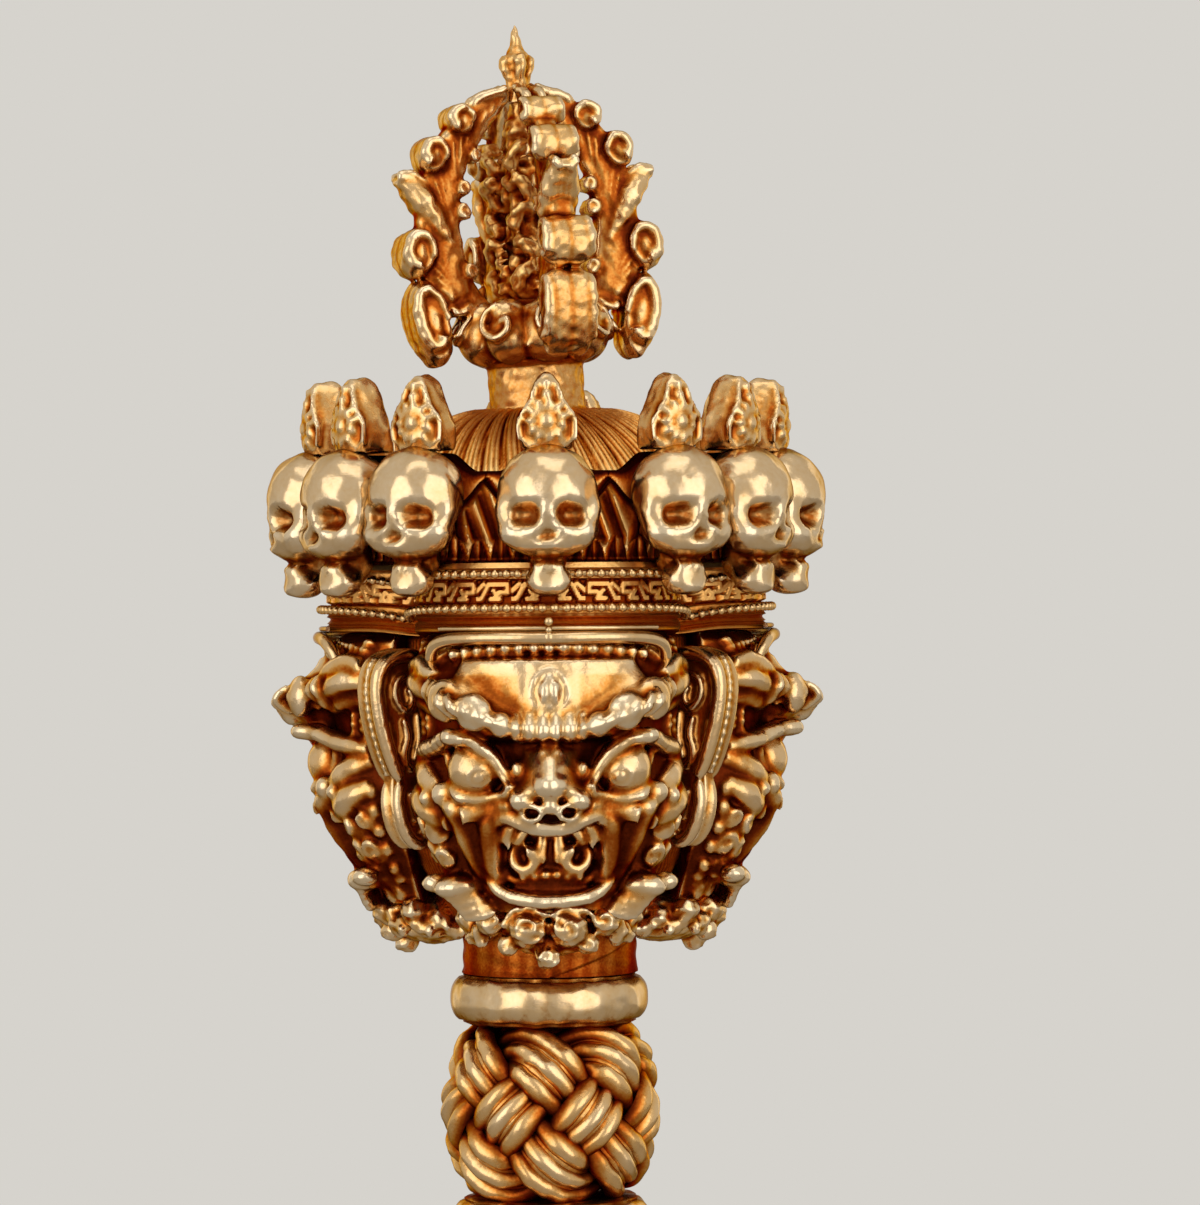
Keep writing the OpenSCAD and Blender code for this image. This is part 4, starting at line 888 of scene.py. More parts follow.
def mouth_parts():
    """Lips, frame, gum, teeth, the tongue's two curls and the palate's strokes above them."""
    parts = [lip([(0, 200.7), (1.6, 201.0), (3.0, 201.5), (4.3, 201.9), (5.0, 201.3)], 24.4,
                 (0.75, 0.9, 0.85, 0.75, 0.55), 0.1, 120),
             lip([(0, 193.65), (3.4, 194.0), (5.1, 194.9), (5.8, 196.4), (5.9, 198.2)], 20.9,
                 (0.72, 0.7, 0.66, 0.6, 0.55), 0.075, 140),
             lip([(0, 195.2), (3.2, 195.6), (4.3, 196.5), (4.4, 197.8)], 19.9, 0.5, 0.07, 110, 12),
             ball((0, -17.7, 197.9), (4.2, 2.7, 2.5), 20, 30),
             ball((0, -18.5, 200.2), (4.0, 2.2, 1.2), 16, 26),
             ball((0, -16.6, 194.3), (5.2, 4.1, 1.2), 16, 30)]
    frame_line = [(3.4, 203.0), (4.9, 202.5), (6.2, 201.0), (6.7, 198.9), (6.9, 197.0), (6.7, 195.4)]
    for side in (-1, 1):
        # Frame: the fold from the nose down beside the mouth
        parts.append(bar(sided(frame_line, side), (0.6, 0.9, 1.05, 1.0, 0.9, 0.7),
                         (0.0, 0.1, 0.2, 0.2, 0.1, 0.0), 1.0, 70, 14))
        # Tongue: a curl that turns in on itself
        s = np.linspace(0, 1, 60)
        a, r = math.radians(70) - TAU * 0.95 * s, 1.4 * (1 - 0.55 * s)
        x = 2.3 + r * np.cos(a)
        tongue = np.stack([side * x, -20.3 + 0.05 * x * x - 0.5 * s, 197.8 + r * np.sin(a) * 1.05], -1)
        parts.append(tube(tongue, 0.52 + 0.16 * s, 12))
        for places, depth, thick, bow, n in [
                ([(2.2, 200.7), (2.8, 199.9), (3.3, 199.1)], 20.8, (0.5, 0.65, 0.5), 0.05, 30),
                ([(0.75, 200.5), (0.8, 199.2), (0.85, 198.1), (0.6, 197.3)], 20.5, (0.5, 0.66, 0.6, 0.45),
                 0.0, 36),
                ([(3.9, 201.0), (4.2, 199.8), (3.9, 198.7)], 21.8, (0.7, 0.6, 0.15), 0.06, 30)]:
            parts.append(mouth_bar(sided(places, side), depth, thick, bow, n))
        # Nostril: a ring with a hole
        v = np.linspace(0, TAU, 36)
        x, z = side * (1.72 + 0.88 * np.cos(v)), 202.3 + 0.7 * np.sin(v)
        parts.append(tube(np.stack([x, -26.0 + 0.22 * x * x - 0.12 * (z - 202.3), z], -1), 0.3, 10))
    parts += [ball((x, -20.3 + 0.05 * x * x, 196.2 - 0.02 * x * x), (0.5, 0.6, 0.55), 10, 12)
              for x in (-2.6, -1.5, -0.45, 0.6, 1.6, 2.7)]
    parts += [ball((0.0, -24.7, 204.9), (1.9, 2.5, 1.7), 28, 36),
              ball((0, -25.6, 203.0), (0.75, 0.9, 0.95), 14, 18),
              tube(smooth_path([(0, -22.9, 208.4), (0, -23.9, 207.2), (0, -24.6, 205.8)], 24),
                   swell(24, 1.35, 1.0), 16)]
    parts += [ball((side * 2.8, -24.5, 203.45), (1.15, 1.4, 1.05), 18, 24) for side in (-1, 1)]
    parts += [ball((side * 0.65, -24.2, 207.8), (0.72, 0.9, 0.75), 14, 18) for side in (-1, 1)]
    return join(*parts)


def tuft_parts(side):
    """Hair at the mouth's corner over combed layers, curls behind the cheek, bead strings above."""
    parts = [moved(ball((0, 0, 0), (2.35, 1.7, 1.2), 20, 30), (side * 8.9, -15.9, 194.9), side * 6, "y"),
             ball((side * 11.1, -14.6, 195.2), (1.3, 1.3, 0.95), 16, 22)]
    for k in range(4):
        x, z = 9.4 - 0.55 * k, 193.9 - 0.62 * k
        layer = sided([(x - 2.6, -16.4, z + 0.5), (x - 1.0, -16.5, z + 0.1), (x + 0.6, -15.9, z - 0.1)], side)
        parts.append(tube(smooth_path(layer, 30), swell(30, 0.6, 0.35), 12))
    curls = [(13.9, 193.6, 1.1), (16.4, 193.6, 1.1), (12.4, 195.4, 1.1), (15.0, 195.6, 1.25),
             (17.4, 195.2, 1.0), (13.2, 197.6, 1.25), (15.8, 198.0, 1.25), (13.4, 200.3, 1.2),
             (15.9, 201.0, 1.2), (12.5, 202.9, 0.95), (14.4, 203.0, 0.7)]
    for k, (u, z, size) in enumerate(curls):
        parts.append(curl(side * u, z, size, size * 0.4, 60 * k, 1.1, 0.1, side if k % 2 else -side, 0.5))
        parts.append(lump(side * u, z, (size * 0.8, 0.6, size * 0.8), 0.1, 0, 10, 12))
    for k in range(5):
        parts.append(lump(side * (17.2 - 0.1 * k), 196.2 + 1.9 * k, (0.9, 0.8, 0.95), 0.0, 0, 10, 12))
    parts += [lump(side * 10.3, 204.0, (1.25, 1.0, 1.15), 0.25),
              lump(side * 12.5, 203.6, (0.75, 0.7, 0.75), 0.5)]
    for k, z in enumerate(np.arange(206.0, 218.6, 0.86)):
        parts.append(lump(side * (14.3 - 0.008 * (z - 211) ** 2), z, (0.42, 0.45, 0.4), 0.15, 0, 8, 10))
        parts.append(lump(side * (16.0 - 0.3 * math.sin(1.7 * k)), z + 0.35, (0.85, 0.5, 0.42), 0.05, 0, 8,
                          10))
    return join(*parts)


def forehead_parts():
    """Third eye in its ring, and a row of blunt locks under the headband, with a thin rail over them."""
    v = np.linspace(0, TAU, 60)
    rim = spot(1.5 * np.sin(v) * (1 - 0.12 * np.cos(v)), 213.85 + 2.0 * np.cos(v), 0.0)
    parts = [tube(rim, 0.27, 10), lump(-0.42, 213.7, (0.55, 0.62, 1.25), 0.1, 3),
             lump(0.42, 213.7, (0.55, 0.62, 1.25), 0.1, -3), lump(0, 215.1, (0.5, 0.4, 0.35), 0.1),
             lump(0, 212.35, (0.4, 0.4, 0.4), 0.1)]
    for u in np.linspace(-9.6, 9.6, 15):
        size = (0.64 + 0.06 * math.sin(5 * u), 0.75, 0.74 + 0.06 * math.cos(9 * u))
        parts.append(lump(u, 218.0 - 0.008 * u * u, size, 0.5, 0, 12, 14))
    for side in (-1, 1):
        rail = sided([(9.9, 217.9), (11.6, 217.2), (12.6, 215.6), (13.0, 213.4)], side)
        parts.append(bar(rail, (0.45, 0.5, 0.5, 0.35), 0.2, 1.0, 40))
        parts += [lump(side * (11.0 + 0.95 * k), 218.3 - 0.12 * k, (0.42, 0.5, 0.42), 0.2, 0, 8, 10)
                  for k in range(6)]
    return join(*parts)


MASK_VOXEL, MASK_LOW, MASK_HIGH = 0.225, 192.35, 219.3


def mask_ground():
    """Rows in z, columns round: the front from -89 to 89 degrees, then a flat back at y = -LOBE."""
    z = np.linspace(MASK_LOW, MASK_HIGH, 174)[:, None]
    u = np.linspace(-1, 1, 241)[None] * FACE_R * math.radians(89)
    u2 = np.linspace(1, -1, 9)[None]
    back = np.stack([egg(z) * u2, -LOBE + 0 * u2 + 0 * z, z + 0 * u2], -1)
    return closed_tube(np.concatenate([spot(u + 0 * z, z + 0 * u), back], 1))


halves = [part(side) for side in (-1, 1) for part in (eye_parts, brow_parts, tuft_parts)]
mask = join(mask_ground(), mouth_parts(), forehead_parts(), *halves)
mask = filled(fuse(mask, MASK_VOXEL, 2), 9, 0.75)
mask_hollow = hollow_of(mask, 5, 60, (2.0, 0.8))
mask = hammered(mask, 0.025, 1.8, 3)


def painted_mask_shade(form, hollow):
    """Painted shade added to the hollow: darker where little stands above the plain egg, on the flat sides,
    inside the mouth, on the cheeks and brows, lighter on the proud forehead.
    """
    x, y, z = form[0].T
    a, r = np.arctan2(x, -(y + LOBE)), np.hypot(x, y + LOBE)
    shade_added = 0.14 - 0.075 * np.clip(r - egg(z), -1, 4) + 0.22 * ease(1.1, 1.5, np.abs(a))
    shade_added = shade_added + 0.2 * ease(11.2, 9.6, r) * band(195.2, 200.8, z, 0.4) * (np.abs(x) < 5.2) * (y < -LOBE)
    shade_added = shade_added + 0.1 * band(197, 202, z, 1.0) * band(0.55, 0.95, np.abs(a), 0.15)
    shade_added = shade_added + 0.15 * band(209.6, 215.2, z, 0.4) * band(3.2, 13.0, np.abs(x), 0.6) * ease(12.6, 13.4, r)
    # Painted shade on the folds and cheeks beside the mouth
    shade_added = shade_added + 0.24 * band(195.6, 201.6, z, 0.8) * band(5.6, 9.6, np.abs(x), 0.5) * (y < -LOBE)
    shade_added = shade_added - 0.2 * band(210.4, 216.6, z, 0.5) * ease(9.5, 8.0, np.abs(x)) * ease(13.2, 13.9, r)
    return np.clip(hollow + shade_added, 0, 0.86)


mask_hollow = painted_mask_shade(mask, mask_hollow)
for name, turn in FACE_TURNS.items():
    dress("face_" + name, moved(mask, turn=turn), GILT, mask_hollow)

# %% [markdown]
# Beside each face stand long ears, two back to back in each valley between the faces. An ear is a thin plate
# with a thick rolled rim that leans in to a step, then hangs as a heavier lobe. Folds run down inside it.

# %% Ears
EAR_ROOT, EAR_VOXEL = 14.0, 0.21


def ear_form():
    """Drawn flat in (u, z): plate, rim, inner fold and ridge as bars; then stood in the valley plane."""
    z = np.linspace(198.2, 217.1, 70)
    edge = np.interp(z, [198.2, 199.0, 200.5, 202.5, 204.6, 205.4, 208, 211, 214, 216, 217.1],
                     [15.6, 16.6, 17.3, 17.7, 17.7, 17.6, 18.7, 19.6, 20.1, 19.4, 17.6])
    t = np.linspace(0, 1, 12)[None]
    u = EAR_ROOT - 0.1 + (edge[:, None] - EAR_ROOT + 0.1) * t
    dish = 0.75 + 0.5 * (2 * t - 1) ** 2
    near = np.stack([u, 0 * u - 0.05, z[:, None] + 0 * u], -1)
    far = np.stack([u, -dish + 0 * u, z[:, None] + 0 * u], -1)
    parts = [closed_tube(np.concatenate([near, far[:, ::-1]], 1))]
    for points, lift, thick in [
            ([(14.6, 216.2), (15.6, 217.0), (17.4, 217.1), (19.2, 216.2), (19.9, 214.2), (19.6, 211.2),
              (18.8, 208.2), (17.9, 205.9), (17.3, 205.2)], 1.25, 0.8),
            ([(17.5, 204.6), (17.6, 202.6), (17.0, 200.3), (15.9, 198.9), (14.8, 198.9), (14.4, 199.9)], 1.2,
             0.72),
            ([(14.5, 216.8), (14.45, 212.0), (14.6, 208.0), (14.4, 204.4)], 1.1, 0.32),
            ([(16.4, 215.2), (17.6, 214.6), (17.7, 212.9), (16.6, 211.8), (15.9, 212.8), (16.3, 213.9)],
             1.05, 0.42),
            ([(16.9, 211.0), (16.5, 209.2), (16.9, 207.6), (16.6, 206.3), (15.8, 205.9)], 1.05, 0.5),
            ([(15.3, 211.4), (15.2, 208.9), (15.7, 206.9)], 1.0, 0.3),
            ([(16.2, 203.8), (16.3, 202.2), (15.6, 200.8)], 1.0, 0.4)]:
        path = smooth_path(points, 80)
        fold = np.stack([path[:, 0], 0 * path[:, 0] - lift, path[:, 1]], -1)
        parts.append(tube(fold, swell(80, thick, thick * 0.6, 0.4), 12))
    # A row of fine notches on the back of the rim, where the two ears meet
    cord = smooth_path([(17.6, 217.2), (19.6, 216.6), (20.3, 214.2), (20.0, 211.2), (19.1, 208.0),
                        (18.1, 205.4)], 130)
    cord = np.stack([cord[:, 0], 0 * cord[:, 0] - 0.2, cord[:, 1]], -1)
    parts.append(tube(cord, 0.27 + 0.07 * np.sin(np.arange(130) * 0.9), 8))
    return moved(join(*parts), turn=-30)


one_ear = ear_form()
ears = filled(fuse(join(one_ear, moved(one_ear, mirror=True)), EAR_VOXEL, 1), 5, 0.5)
ear_hollow = np.clip(hollow_of(ears, 4, 40, (2.0, 0.8)), 0, 0.52)
for name, turn in FACE_TURNS.items():
    dress("ears_" + name, moved(ears, turn=turn), GILT, ear_hollow)

# %% [markdown]
# Under each chin hangs a short beard of ball curls. Each curl is a ball with a spiral ridge on its front.

# %% Beards
BEARD_VOXEL = 0.22


def beard_form():
    """Balls on a curve round the chin, each with a spiral, over a soft shelf that reaches the neck."""
    curls = [(-8.0, 191.7, 1.25), (-5.7, 191.6, 1.55), (-2.2, 190.9, 1.9), (1.7, 190.9, 1.9),
             (5.2, 191.6, 1.6), (7.8, 191.8, 1.25),
             (-4.1, 189.2, 1.1), (3.6, 189.3, 1.1), (-0.3, 188.1, 1.2), (-6.7, 189.6, 0.8), (6.4, 189.7, 0.8)]
    parts = [ball((0, -10.2, 191.6), (7.6, 6.4, 2.2), 20, 36),
             ball((0, -13.2, 189.6), (4.2, 3.8, 1.6), 18, 30)]
    # Smaller curls fill the sides, back towards the neck
    for k in range(7):
        a, low = math.radians(56 + 13 * k), 0.7 * (k % 2)
        for side in (-1, 1):
            at = (side * 7.3 * math.sin(a), -LOBE - 6.6 * math.cos(a), 191.3 - 1.3 * low - 0.1 * k)
            parts.append(ball(at, 1.15 - 0.15 * low, 10, 14))
            at = (side * 7.9 * math.sin(a + 0.1), -LOBE - 7.2 * math.cos(a + 0.1), 190.4 - low)
            parts.append(ball(at, 0.62, 8, 12))
    for x, z, r in curls:
        y = -(LOBE + math.sqrt(max(7.6**2 - x * x, 1)) - 0.7) + 0.25 * (191 - z)
        parts.append(ball((x, y, z), r, 14, 20))
        s = np.linspace(0, 1, 50)
        a = 0.6 + TAU * 1.5 * s * (1 if x > 0 else -1)
        q = r * (0.86 - 0.72 * s)
        depth = np.sqrt(np.maximum(r * r - q * q, 0))
        parts.append(tube(np.stack([x + q * np.cos(a), y - depth - 0.02, z + q * np.sin(a)], -1), 0.2, 6))
    arch = smooth_path([(-4.7, 191.0), (-3.7, 192.5), (-1.7, 192.9), (-0.2, 192.1), (1.3, 192.9),
                        (3.5, 192.5), (4.6, 191.0)], 70)
    parts.append(tube(np.stack([arch[:, 0], -(LOBE + np.sqrt(7.9**2 - arch[:, 0] ** 2)), arch[:, 1]], -1),
                      0.3, 8))
    return hammered(filled(fuse(join(*parts), BEARD_VOXEL, 1), 5, 0.6), 0.05, 1.2, 4)


beard = beard_form()
beard_hollow = hollow_of(beard, 4, 40, (2.0, 0.8))
for name, turn in FACE_TURNS.items():
    dress("beard_" + name, moved(beard, turn=turn), GILT, beard_hollow)

# %% [markdown]
# The diadem goes round all three heads, so its outline has three lobes. A band with a key pattern runs
# between two rows of beads; under the lower row lie thin lines, and a smooth round band crosses each
# forehead.

# %% Diadem
DIADEM_H, KEY_R, KEY_LONG, KEY_PROUD = 6.6, 12.6, 3.6, 0.55


def three_lobes(a, r):
    """Polar radius of three circles LOBE from the axis: c cos b + sqrt(r^2 - (c sin b)^2)."""
    b = from_face(a)
    return LOBE * np.cos(b) + np.sqrt(r * r - (LOBE * np.sin(b)) ** 2)


def bar_distance(x, z, segments):
    """Distance from each point (x, z) to the nearest of some straight strokes."""
    best = np.full(np.broadcast(x, z).shape, 9.0)
    for x0, z0, x1, z1 in segments:
        dx, dz = x1 - x0, z1 - z0
        t = np.clip(((x - x0) * dx + (z - z0) * dz) / (dx * dx + dz * dz), 0, 1)
        best = np.minimum(best, np.hypot(x - x0 - t * dx, z - z0 - t * dz))
    return best


def diadem_form():
    """Loop of profiles: radius by height, with the key pattern raised KEY_PROUD mm on the middle band."""
    a = around(1080)
    h = np.linspace(0, DIADEM_H, 54)[:, None]
    base = np.interp(h, [0, 0.15, 1.0, 1.15, 1.35, 1.5, 1.7, 2.5, 2.8, 4.9, 5.1, 5.9, 6.1, 6.6],
                     [12.5, 12.95, 12.95, 12.6, 12.6, 13.0, 12.8, 12.8, 12.45, 12.45, 12.9, 12.9, 13.25,
                      13.1])
    # Three fine lines run round the foot of the band
    base = base - 0.22 * (h > 0.12) * (h < 1.1) * np.abs(np.cos(math.pi * (h - 0.2) / 0.28)) ** 3
    # Key pattern: a figure of straight strokes, leaning to the middle of each face
    b = from_face(a)
    along = np.arcsin(np.clip(three_lobes(a, KEY_R) * np.sin(b) / KEY_R, -1, 1)) * KEY_R
    unit_x = (np.abs(along) % KEY_LONG) - KEY_LONG / 2
    key = [(-1.5, 4.55, 0.4, 4.55), (0.4, 4.55, 1.2, 3.15), (-1.5, 4.55, -1.5, 3.75),
           (-0.6, 3.75, -1.5, 3.75), (-0.7, 3.15, 0.2, 3.15), (-0.1, 3.95, -0.7, 3.15),
           (1.2, 3.15, 1.9, 3.15), (0.9, 4.6, 1.7, 3.9)]
    raised = ease(0.42, 0.2, bar_distance(unit_x, h + 0 * a, key)) * KEY_PROUD
    # The band dips where two lobes meet
    valley = np.exp(-((np.abs(b) - math.pi / 3) / 0.16) ** 2)
    grid = upright(three_lobes(a, base + raised), a, Z_DIADEM + h - 0.5 * valley * (1 - h / DIADEM_H))
    back = upright(three_lobes(a, 8.9), a, Z_DIADEM + np.array([5.2, 1.4])[:, None])
    # Painted shade by depth, over the red of the unrubbed gilding: light at 0.5 mm above the sunk band, dark
    # on it and under it, darkest on the back rows
    hollow = np.clip(0.66 - 0.75 * (base + raised - 12.45) + 0.02 * ease(1.3, 1.0, h), 0.12, 0.9)
    hollow = np.concatenate([hollow, np.full((2, hollow.shape[1]), 0.9)]).T.ravel()
    return closed_loop(np.concatenate([grid, back]).transpose(1, 0, 2)), hollow


def lobe_half(r):
    """Half of the arc of a lobe that shows, as an angle about the lobe's own middle (degrees)."""
    reach = LOBE / 2 + math.sqrt(r * r - (LOBE * math.sin(math.pi / 3)) ** 2)
    return math.degrees(math.atan2(reach * math.sin(math.pi / 3), reach / 2 - LOBE))


diadem, diadem_hollow = diadem_form()
dress("diadem", diadem, RECESSED, diadem_hollow)

# %% [markdown]
# A bead wire is a wire hammered in a swage, so it is a row of equal beads. Each bead has only a few faces,
# because there are about two hundred.

# %% Bead wires and forehead bands
BEAD_RING_R, BEAD_R, BEAD_PITCH, BAND_R = 13.55, 0.5, 1.12, 13.75


def lobe_arc(r, half, n):
    """Points along one lobe's arc: (r sin a, -LOBE - r cos a) for a from -half to half degrees."""
    a = np.radians(np.linspace(-half, half, n))
    return np.stack([r * np.sin(a), -LOBE - r * np.cos(a)], -1)


def bead_wire_form(z, r, size, pitch, dip):
    """One bead each pitch along the arc, on a thin wire; both ends sink by dip towards the valleys."""
    half = lobe_half(r) - 3.5
    n = int(round(2 * math.radians(half) * r / pitch))
    place = lobe_arc(r, half, n)
    sink = dip * np.abs(np.linspace(-1, 1, n)) ** 5
    beads = [ball((x, y, z - d), (size, size, size * 0.92), 6, 8) for (x, y), d in zip(place, sink)]
    wire = lobe_arc(r, half, 90)
    low = dip * np.abs(np.linspace(-1, 1, 90)) ** 5
    wire = tube(np.stack([wire[:, 0], wire[:, 1], z - low], -1), size * 0.45, 6, up=(0, 0, 1))
    return join(*beads, wire)


for name, up in (("bead_wire_lower", 2.27), ("bead_wire_upper", 5.54)):
    beads = thrice(bead_wire_form(Z_DIADEM + up, BEAD_RING_R, BEAD_R, BEAD_PITCH, 0.9))
    dress(name, beads, GILT, np.full(len(beads[0]), 0.3))


def forehead_band_form():
    """Round band whose ends bend down beside the temples, a thin line over it and a small clasp."""
    right = smooth_path([(0, 0), (15, 0), (30, 0), (42, 0.1), (50, 0.45), (55, 1.2), (57.5, 2.2),
                         (58.5, 3.4)], 110)
    both = np.concatenate([right[::-1] * [-1, 1], right])
    a, drop = np.radians(both[:, 0]), both[:, 1]
    r = BAND_R - 0.5 * ease(0.4, 2.5, drop)
    place = np.stack([r * np.sin(a), -LOBE - r * np.cos(a), Z_DIADEM - 0.55 - drop], -1)
    band = tube(place, 0.64 * (1 - 0.45 * ease(2.0, 3.9, drop)), 16, up=(0, 0, 1))
    line = lobe_arc(BEAD_RING_R, 50, 90)
    thin = tube(np.stack([line[:, 0], line[:, 1], 0 * line[:, 0] + Z_DIADEM + 0.35], -1), 0.24, 8,
                up=(0, 0, 1))
    clasp = [ball((0, -LOBE - 14.1, Z_DIADEM + up), (r, 0.35, r), 8, 12)
             for up, r in ((1.0, 0.45), (0.2, 0.35), (-0.5, 0.55))]
    return join(band, thin, *clasp)


head_bands = thrice(forehead_band_form())
dress("forehead_bands", head_bands, BURNISHED, np.full(len(head_bands[0]), 0.35))

# %% [markdown]
# Fifteen skulls ride on the crown. Each is a round cranium over a small face: deep sockets under a brow
# ridge, a hole for the nose, a ledge of upper jaw and a loose jaw below with a few teeth. Overlapping balls
# are fused into the shape, then the sockets are pressed in, as with a round tool. One skull is made, and set
# out 15 times.

# %% Skulls
SKULL_OUT, SKULL_R, SKULLS, SKULL_GAP, SKULL_VOXEL = 23.7, 4.6, 15, 32.0, 0.34
SKULL_TURNS = [0.0] + [SKULL_GAP + k * (360 - 2 * SKULL_GAP) / (SKULLS - 2) for k in range(SKULLS - 1)]


def press(form, at, size, depth, power=4):
    """Pushes the front of a form back by depth * exp(-(dx/a)^n - (dz/b)^n) round a place (x, z)."""
    p, t = form
    across, up = np.abs(p[:, 0] - at[0]) / size[0], np.abs(p[:, 2] - at[1]) / size[1]
    dip = np.exp(-across**power - up**power)
    return p + np.stack([0 * dip, depth * dip * (p[:, 1] < -0.5), 0 * dip], -1), t


def skull_form():
    """Cranium, temples, cheekbones, ledge, jaws and teeth about the cranium's middle, facing -y."""
    brow = [(-3.9, -1.9), (-3.2, -0.9), (-1.9, -0.75), (0, -1.35), (1.9, -0.75), (3.2, -0.9), (3.9, -1.9)]
    brow = smooth_path(brow, 50)
    parts = [ball((0, 0, 0.05), (4.8, 4.45, 4.55), 30, 40), ball((0, -1.3, -3.2), (3.7, 2.8, 2.3)),
             ball((0, -1.3, -4.6), (4.15, 2.7, 1.5), 24, 34), ball((0, 0.6, -6.2), (1.9, 2.2, 2.6)),
             ball((0, -3.75, -5.0), (1.15, 0.5, 0.42), 12, 16),
             ball((0, -0.75, -8.25), (2.35, 2.0, 1.6), 20, 28), ball((0, -1.2, -8.9), (1.8, 1.7, 0.95)),
             tube(np.stack([brow[:, 0], -4.0 + 0.16 * brow[:, 0] ** 2, brow[:, 1]], -1), swell(50, 0.5, 0.3),
                  10)]
    for side in (-1, 1):
        parts += [ball((side * 4.1, -0.9, -1.6), (1.05, 1.5, 1.7)), ball((side * 3.2, -1.5, -3.7),
                                                                         (1.6, 2.0, 1.5)),
                  ball((side * 1.2, -2.1, -7.0), (0.42, 0.5, 0.6), 8, 10),
                  ball((side * 0.4, -2.4, -7.0), (0.42, 0.5, 0.6), 8, 10)]
        rim = smooth_path([(3.9, -1.9), (3.75, -3.0), (2.7, -3.75), (1.5, -3.5), (0.75, -2.6), (0.45, -1.4)],
                          34)
        parts.append(tube(np.stack([side * rim[:, 0], -4.1 + 0.15 * rim[:, 0] ** 2, rim[:, 1]], -1), 0.42, 8))
    form = filled(fuse(join(*parts), SKULL_VOXEL, 2), 9, 0.85)
    # Two steps to each eye socket, then the nose
    for side in (-1, 1):
        form = press(form, (side * 2.1, -2.15), (1.2, 1.0), 1.2)
        form = press(form, (side * 1.6, -1.85), (0.8, 0.75), 0.35)
        form = press(form, (side * 0.32, -4.0), (0.4, 0.45), 0.7, 3)
    form = press(form, (0, -6.35), (4.2, 0.3), 0.7)
    return relax(form, 3)


skull = skull_form()
skull_hollow = np.clip(hollow_of(skull, 3, 30, (1.7, 0.75)) - 0.05, 0, 0.58)
# Painted shade at the back, towards the wall, under the cheekbones and where the jewel stands on the top
back, up = skull[0][:, 1], skull[0][:, 2]
skull_hollow = skull_hollow + 0.3 * ease(0.3, 2.6, back) + 0.1 * ease(-3.5, -6.5, up)
skull_hollow = np.clip(skull_hollow + 0.22 * ease(3.7, 4.5, up) * ease(-3.2, -1.2, back), 0, 1)
skull = hammered(skull, 0.04, 2.6, 11)
skull = moved(skull, (0, -SKULL_OUT, Z_SKULL_TOP - SKULL_R))
skulls = join(*[moved(skull, turn=turn) for turn in SKULL_TURNS])
dress("skulls", skulls, BURNISHED, np.tile(skull_hollow, SKULLS))

# %% [markdown]
# A jewel stands on each skull: a thick petal with a pointed arch for a front, a rim along the arch, two drops
# under its point and a sunflower below. Its sections are flattened rounds whose width follows the arch.

# %% Jewels over the skulls
JEWEL_FRONT, JEWEL_H, JEWEL_VOXEL, PETALS = 24.2, 7.35, 0.28, 11


def jewel_form():
    """Section at height h: x = w(h) cos v, y = middle - d(h) sin v, both raised to a soft power."""
    h = np.linspace(0, JEWEL_H, 64)
    w = np.interp(h, [0, 0.9, 2.2, 3.2, 4.2, 5.2, 6.0, 6.7, 7.15, 7.35],
                  [2.5, 2.65, 2.65, 2.45, 2.0, 1.6, 1.3, 0.95, 0.55, 0.15])[:, None]
    d = np.interp(h, [0, 2, 4, 5.5, 6.4, 6.9, 7.2, 7.35], [5.2, 4.9, 4.4, 3.9, 3.3, 2.5, 1.5, 0.4])[:, None]
    lean = np.interp(h, [0, 3.5, 5.5, 6.5, 7.0, 7.35], [0, 0.1, 0.4, 0.8, 1.2, 2.2])[:, None]
    v = around(48)
    cx, sy = np.cos(v), np.sin(v)
    x = w * np.sign(cx) * np.abs(cx) ** 0.8
    y = -JEWEL_FRONT + lean + d / 2 - d / 2 * np.sign(sy) * np.abs(sy) ** 0.7
    body = closed_tube(np.stack([x, y, h[:, None] + 0 * x], -1))
    edge = [(-2.6, 0.6), (-2.75, 2.2), (-2.45, 3.2), (-1.5, 4.5), (-1.0, 5.9), (0, 7.0)]
    rim = smooth_path(edge + sided(edge[-2::-1], -1), 90)
    near = -JEWEL_FRONT - 0.02 + np.interp(rim[:, 1], h, lean[:, 0]) + 0.09 * rim[:, 0] ** 2
    parts = [body, tube(np.stack([rim[:, 0], near, rim[:, 1]], -1), 0.26, 8),
             ball((0, -JEWEL_FRONT + 0.45, 6.1), (0.5, 0.5, 0.55), 10, 14),
             ball((0, -JEWEL_FRONT + 0.1, 5.05), (0.5, 0.4, 0.5), 10, 14),
             ball((0, -JEWEL_FRONT - 0.1, 2.6), (0.75, 0.5, 0.72), 12, 16)]
    for k in range(PETALS):
        a = TAU * (k + 0.5) / PETALS
        r = np.linspace(0.95, 2.1, 8)
        across = r * math.cos(a)
        petal = np.stack([across, -JEWEL_FRONT - 0.12 + 0.09 * across**2, 2.6 + r * math.sin(a)], -1)
        parts.append(tube(petal, swell(8, 0.33, 0.12), 8))
    return moved(filled(fuse(join(*parts), JEWEL_VOXEL, 1), 4, 0.5), (0, 0, Z_WALL_TOP + 0.25))


jewel = jewel_form()
jewel_hollow = hollow_of(jewel, 3, 24, (2.4, 0.8))
jewel = hammered(jewel, 0.03, 1.4, 8)
jewels = join(*[moved(jewel, turn=turn) for turn in SKULL_TURNS])
dress("jewels", jewels, GILT, np.tile(jewel_hollow, SKULLS))

# %% [markdown]
# Behind the skulls stands the crown's wall. Its foot is a fence of small pointed leaves, and over them, in
# each gap between two skulls, stands a taller shell-like leaf. The gaps lie back in shade: they keep the red
# of the unrubbed gilding and are darkened further as painted shade.

# %% Crown wall with its leaves
CROWN_R, CROWN_FOOT_R, SMALL_LEAVES = 21.0, 14.0, 60


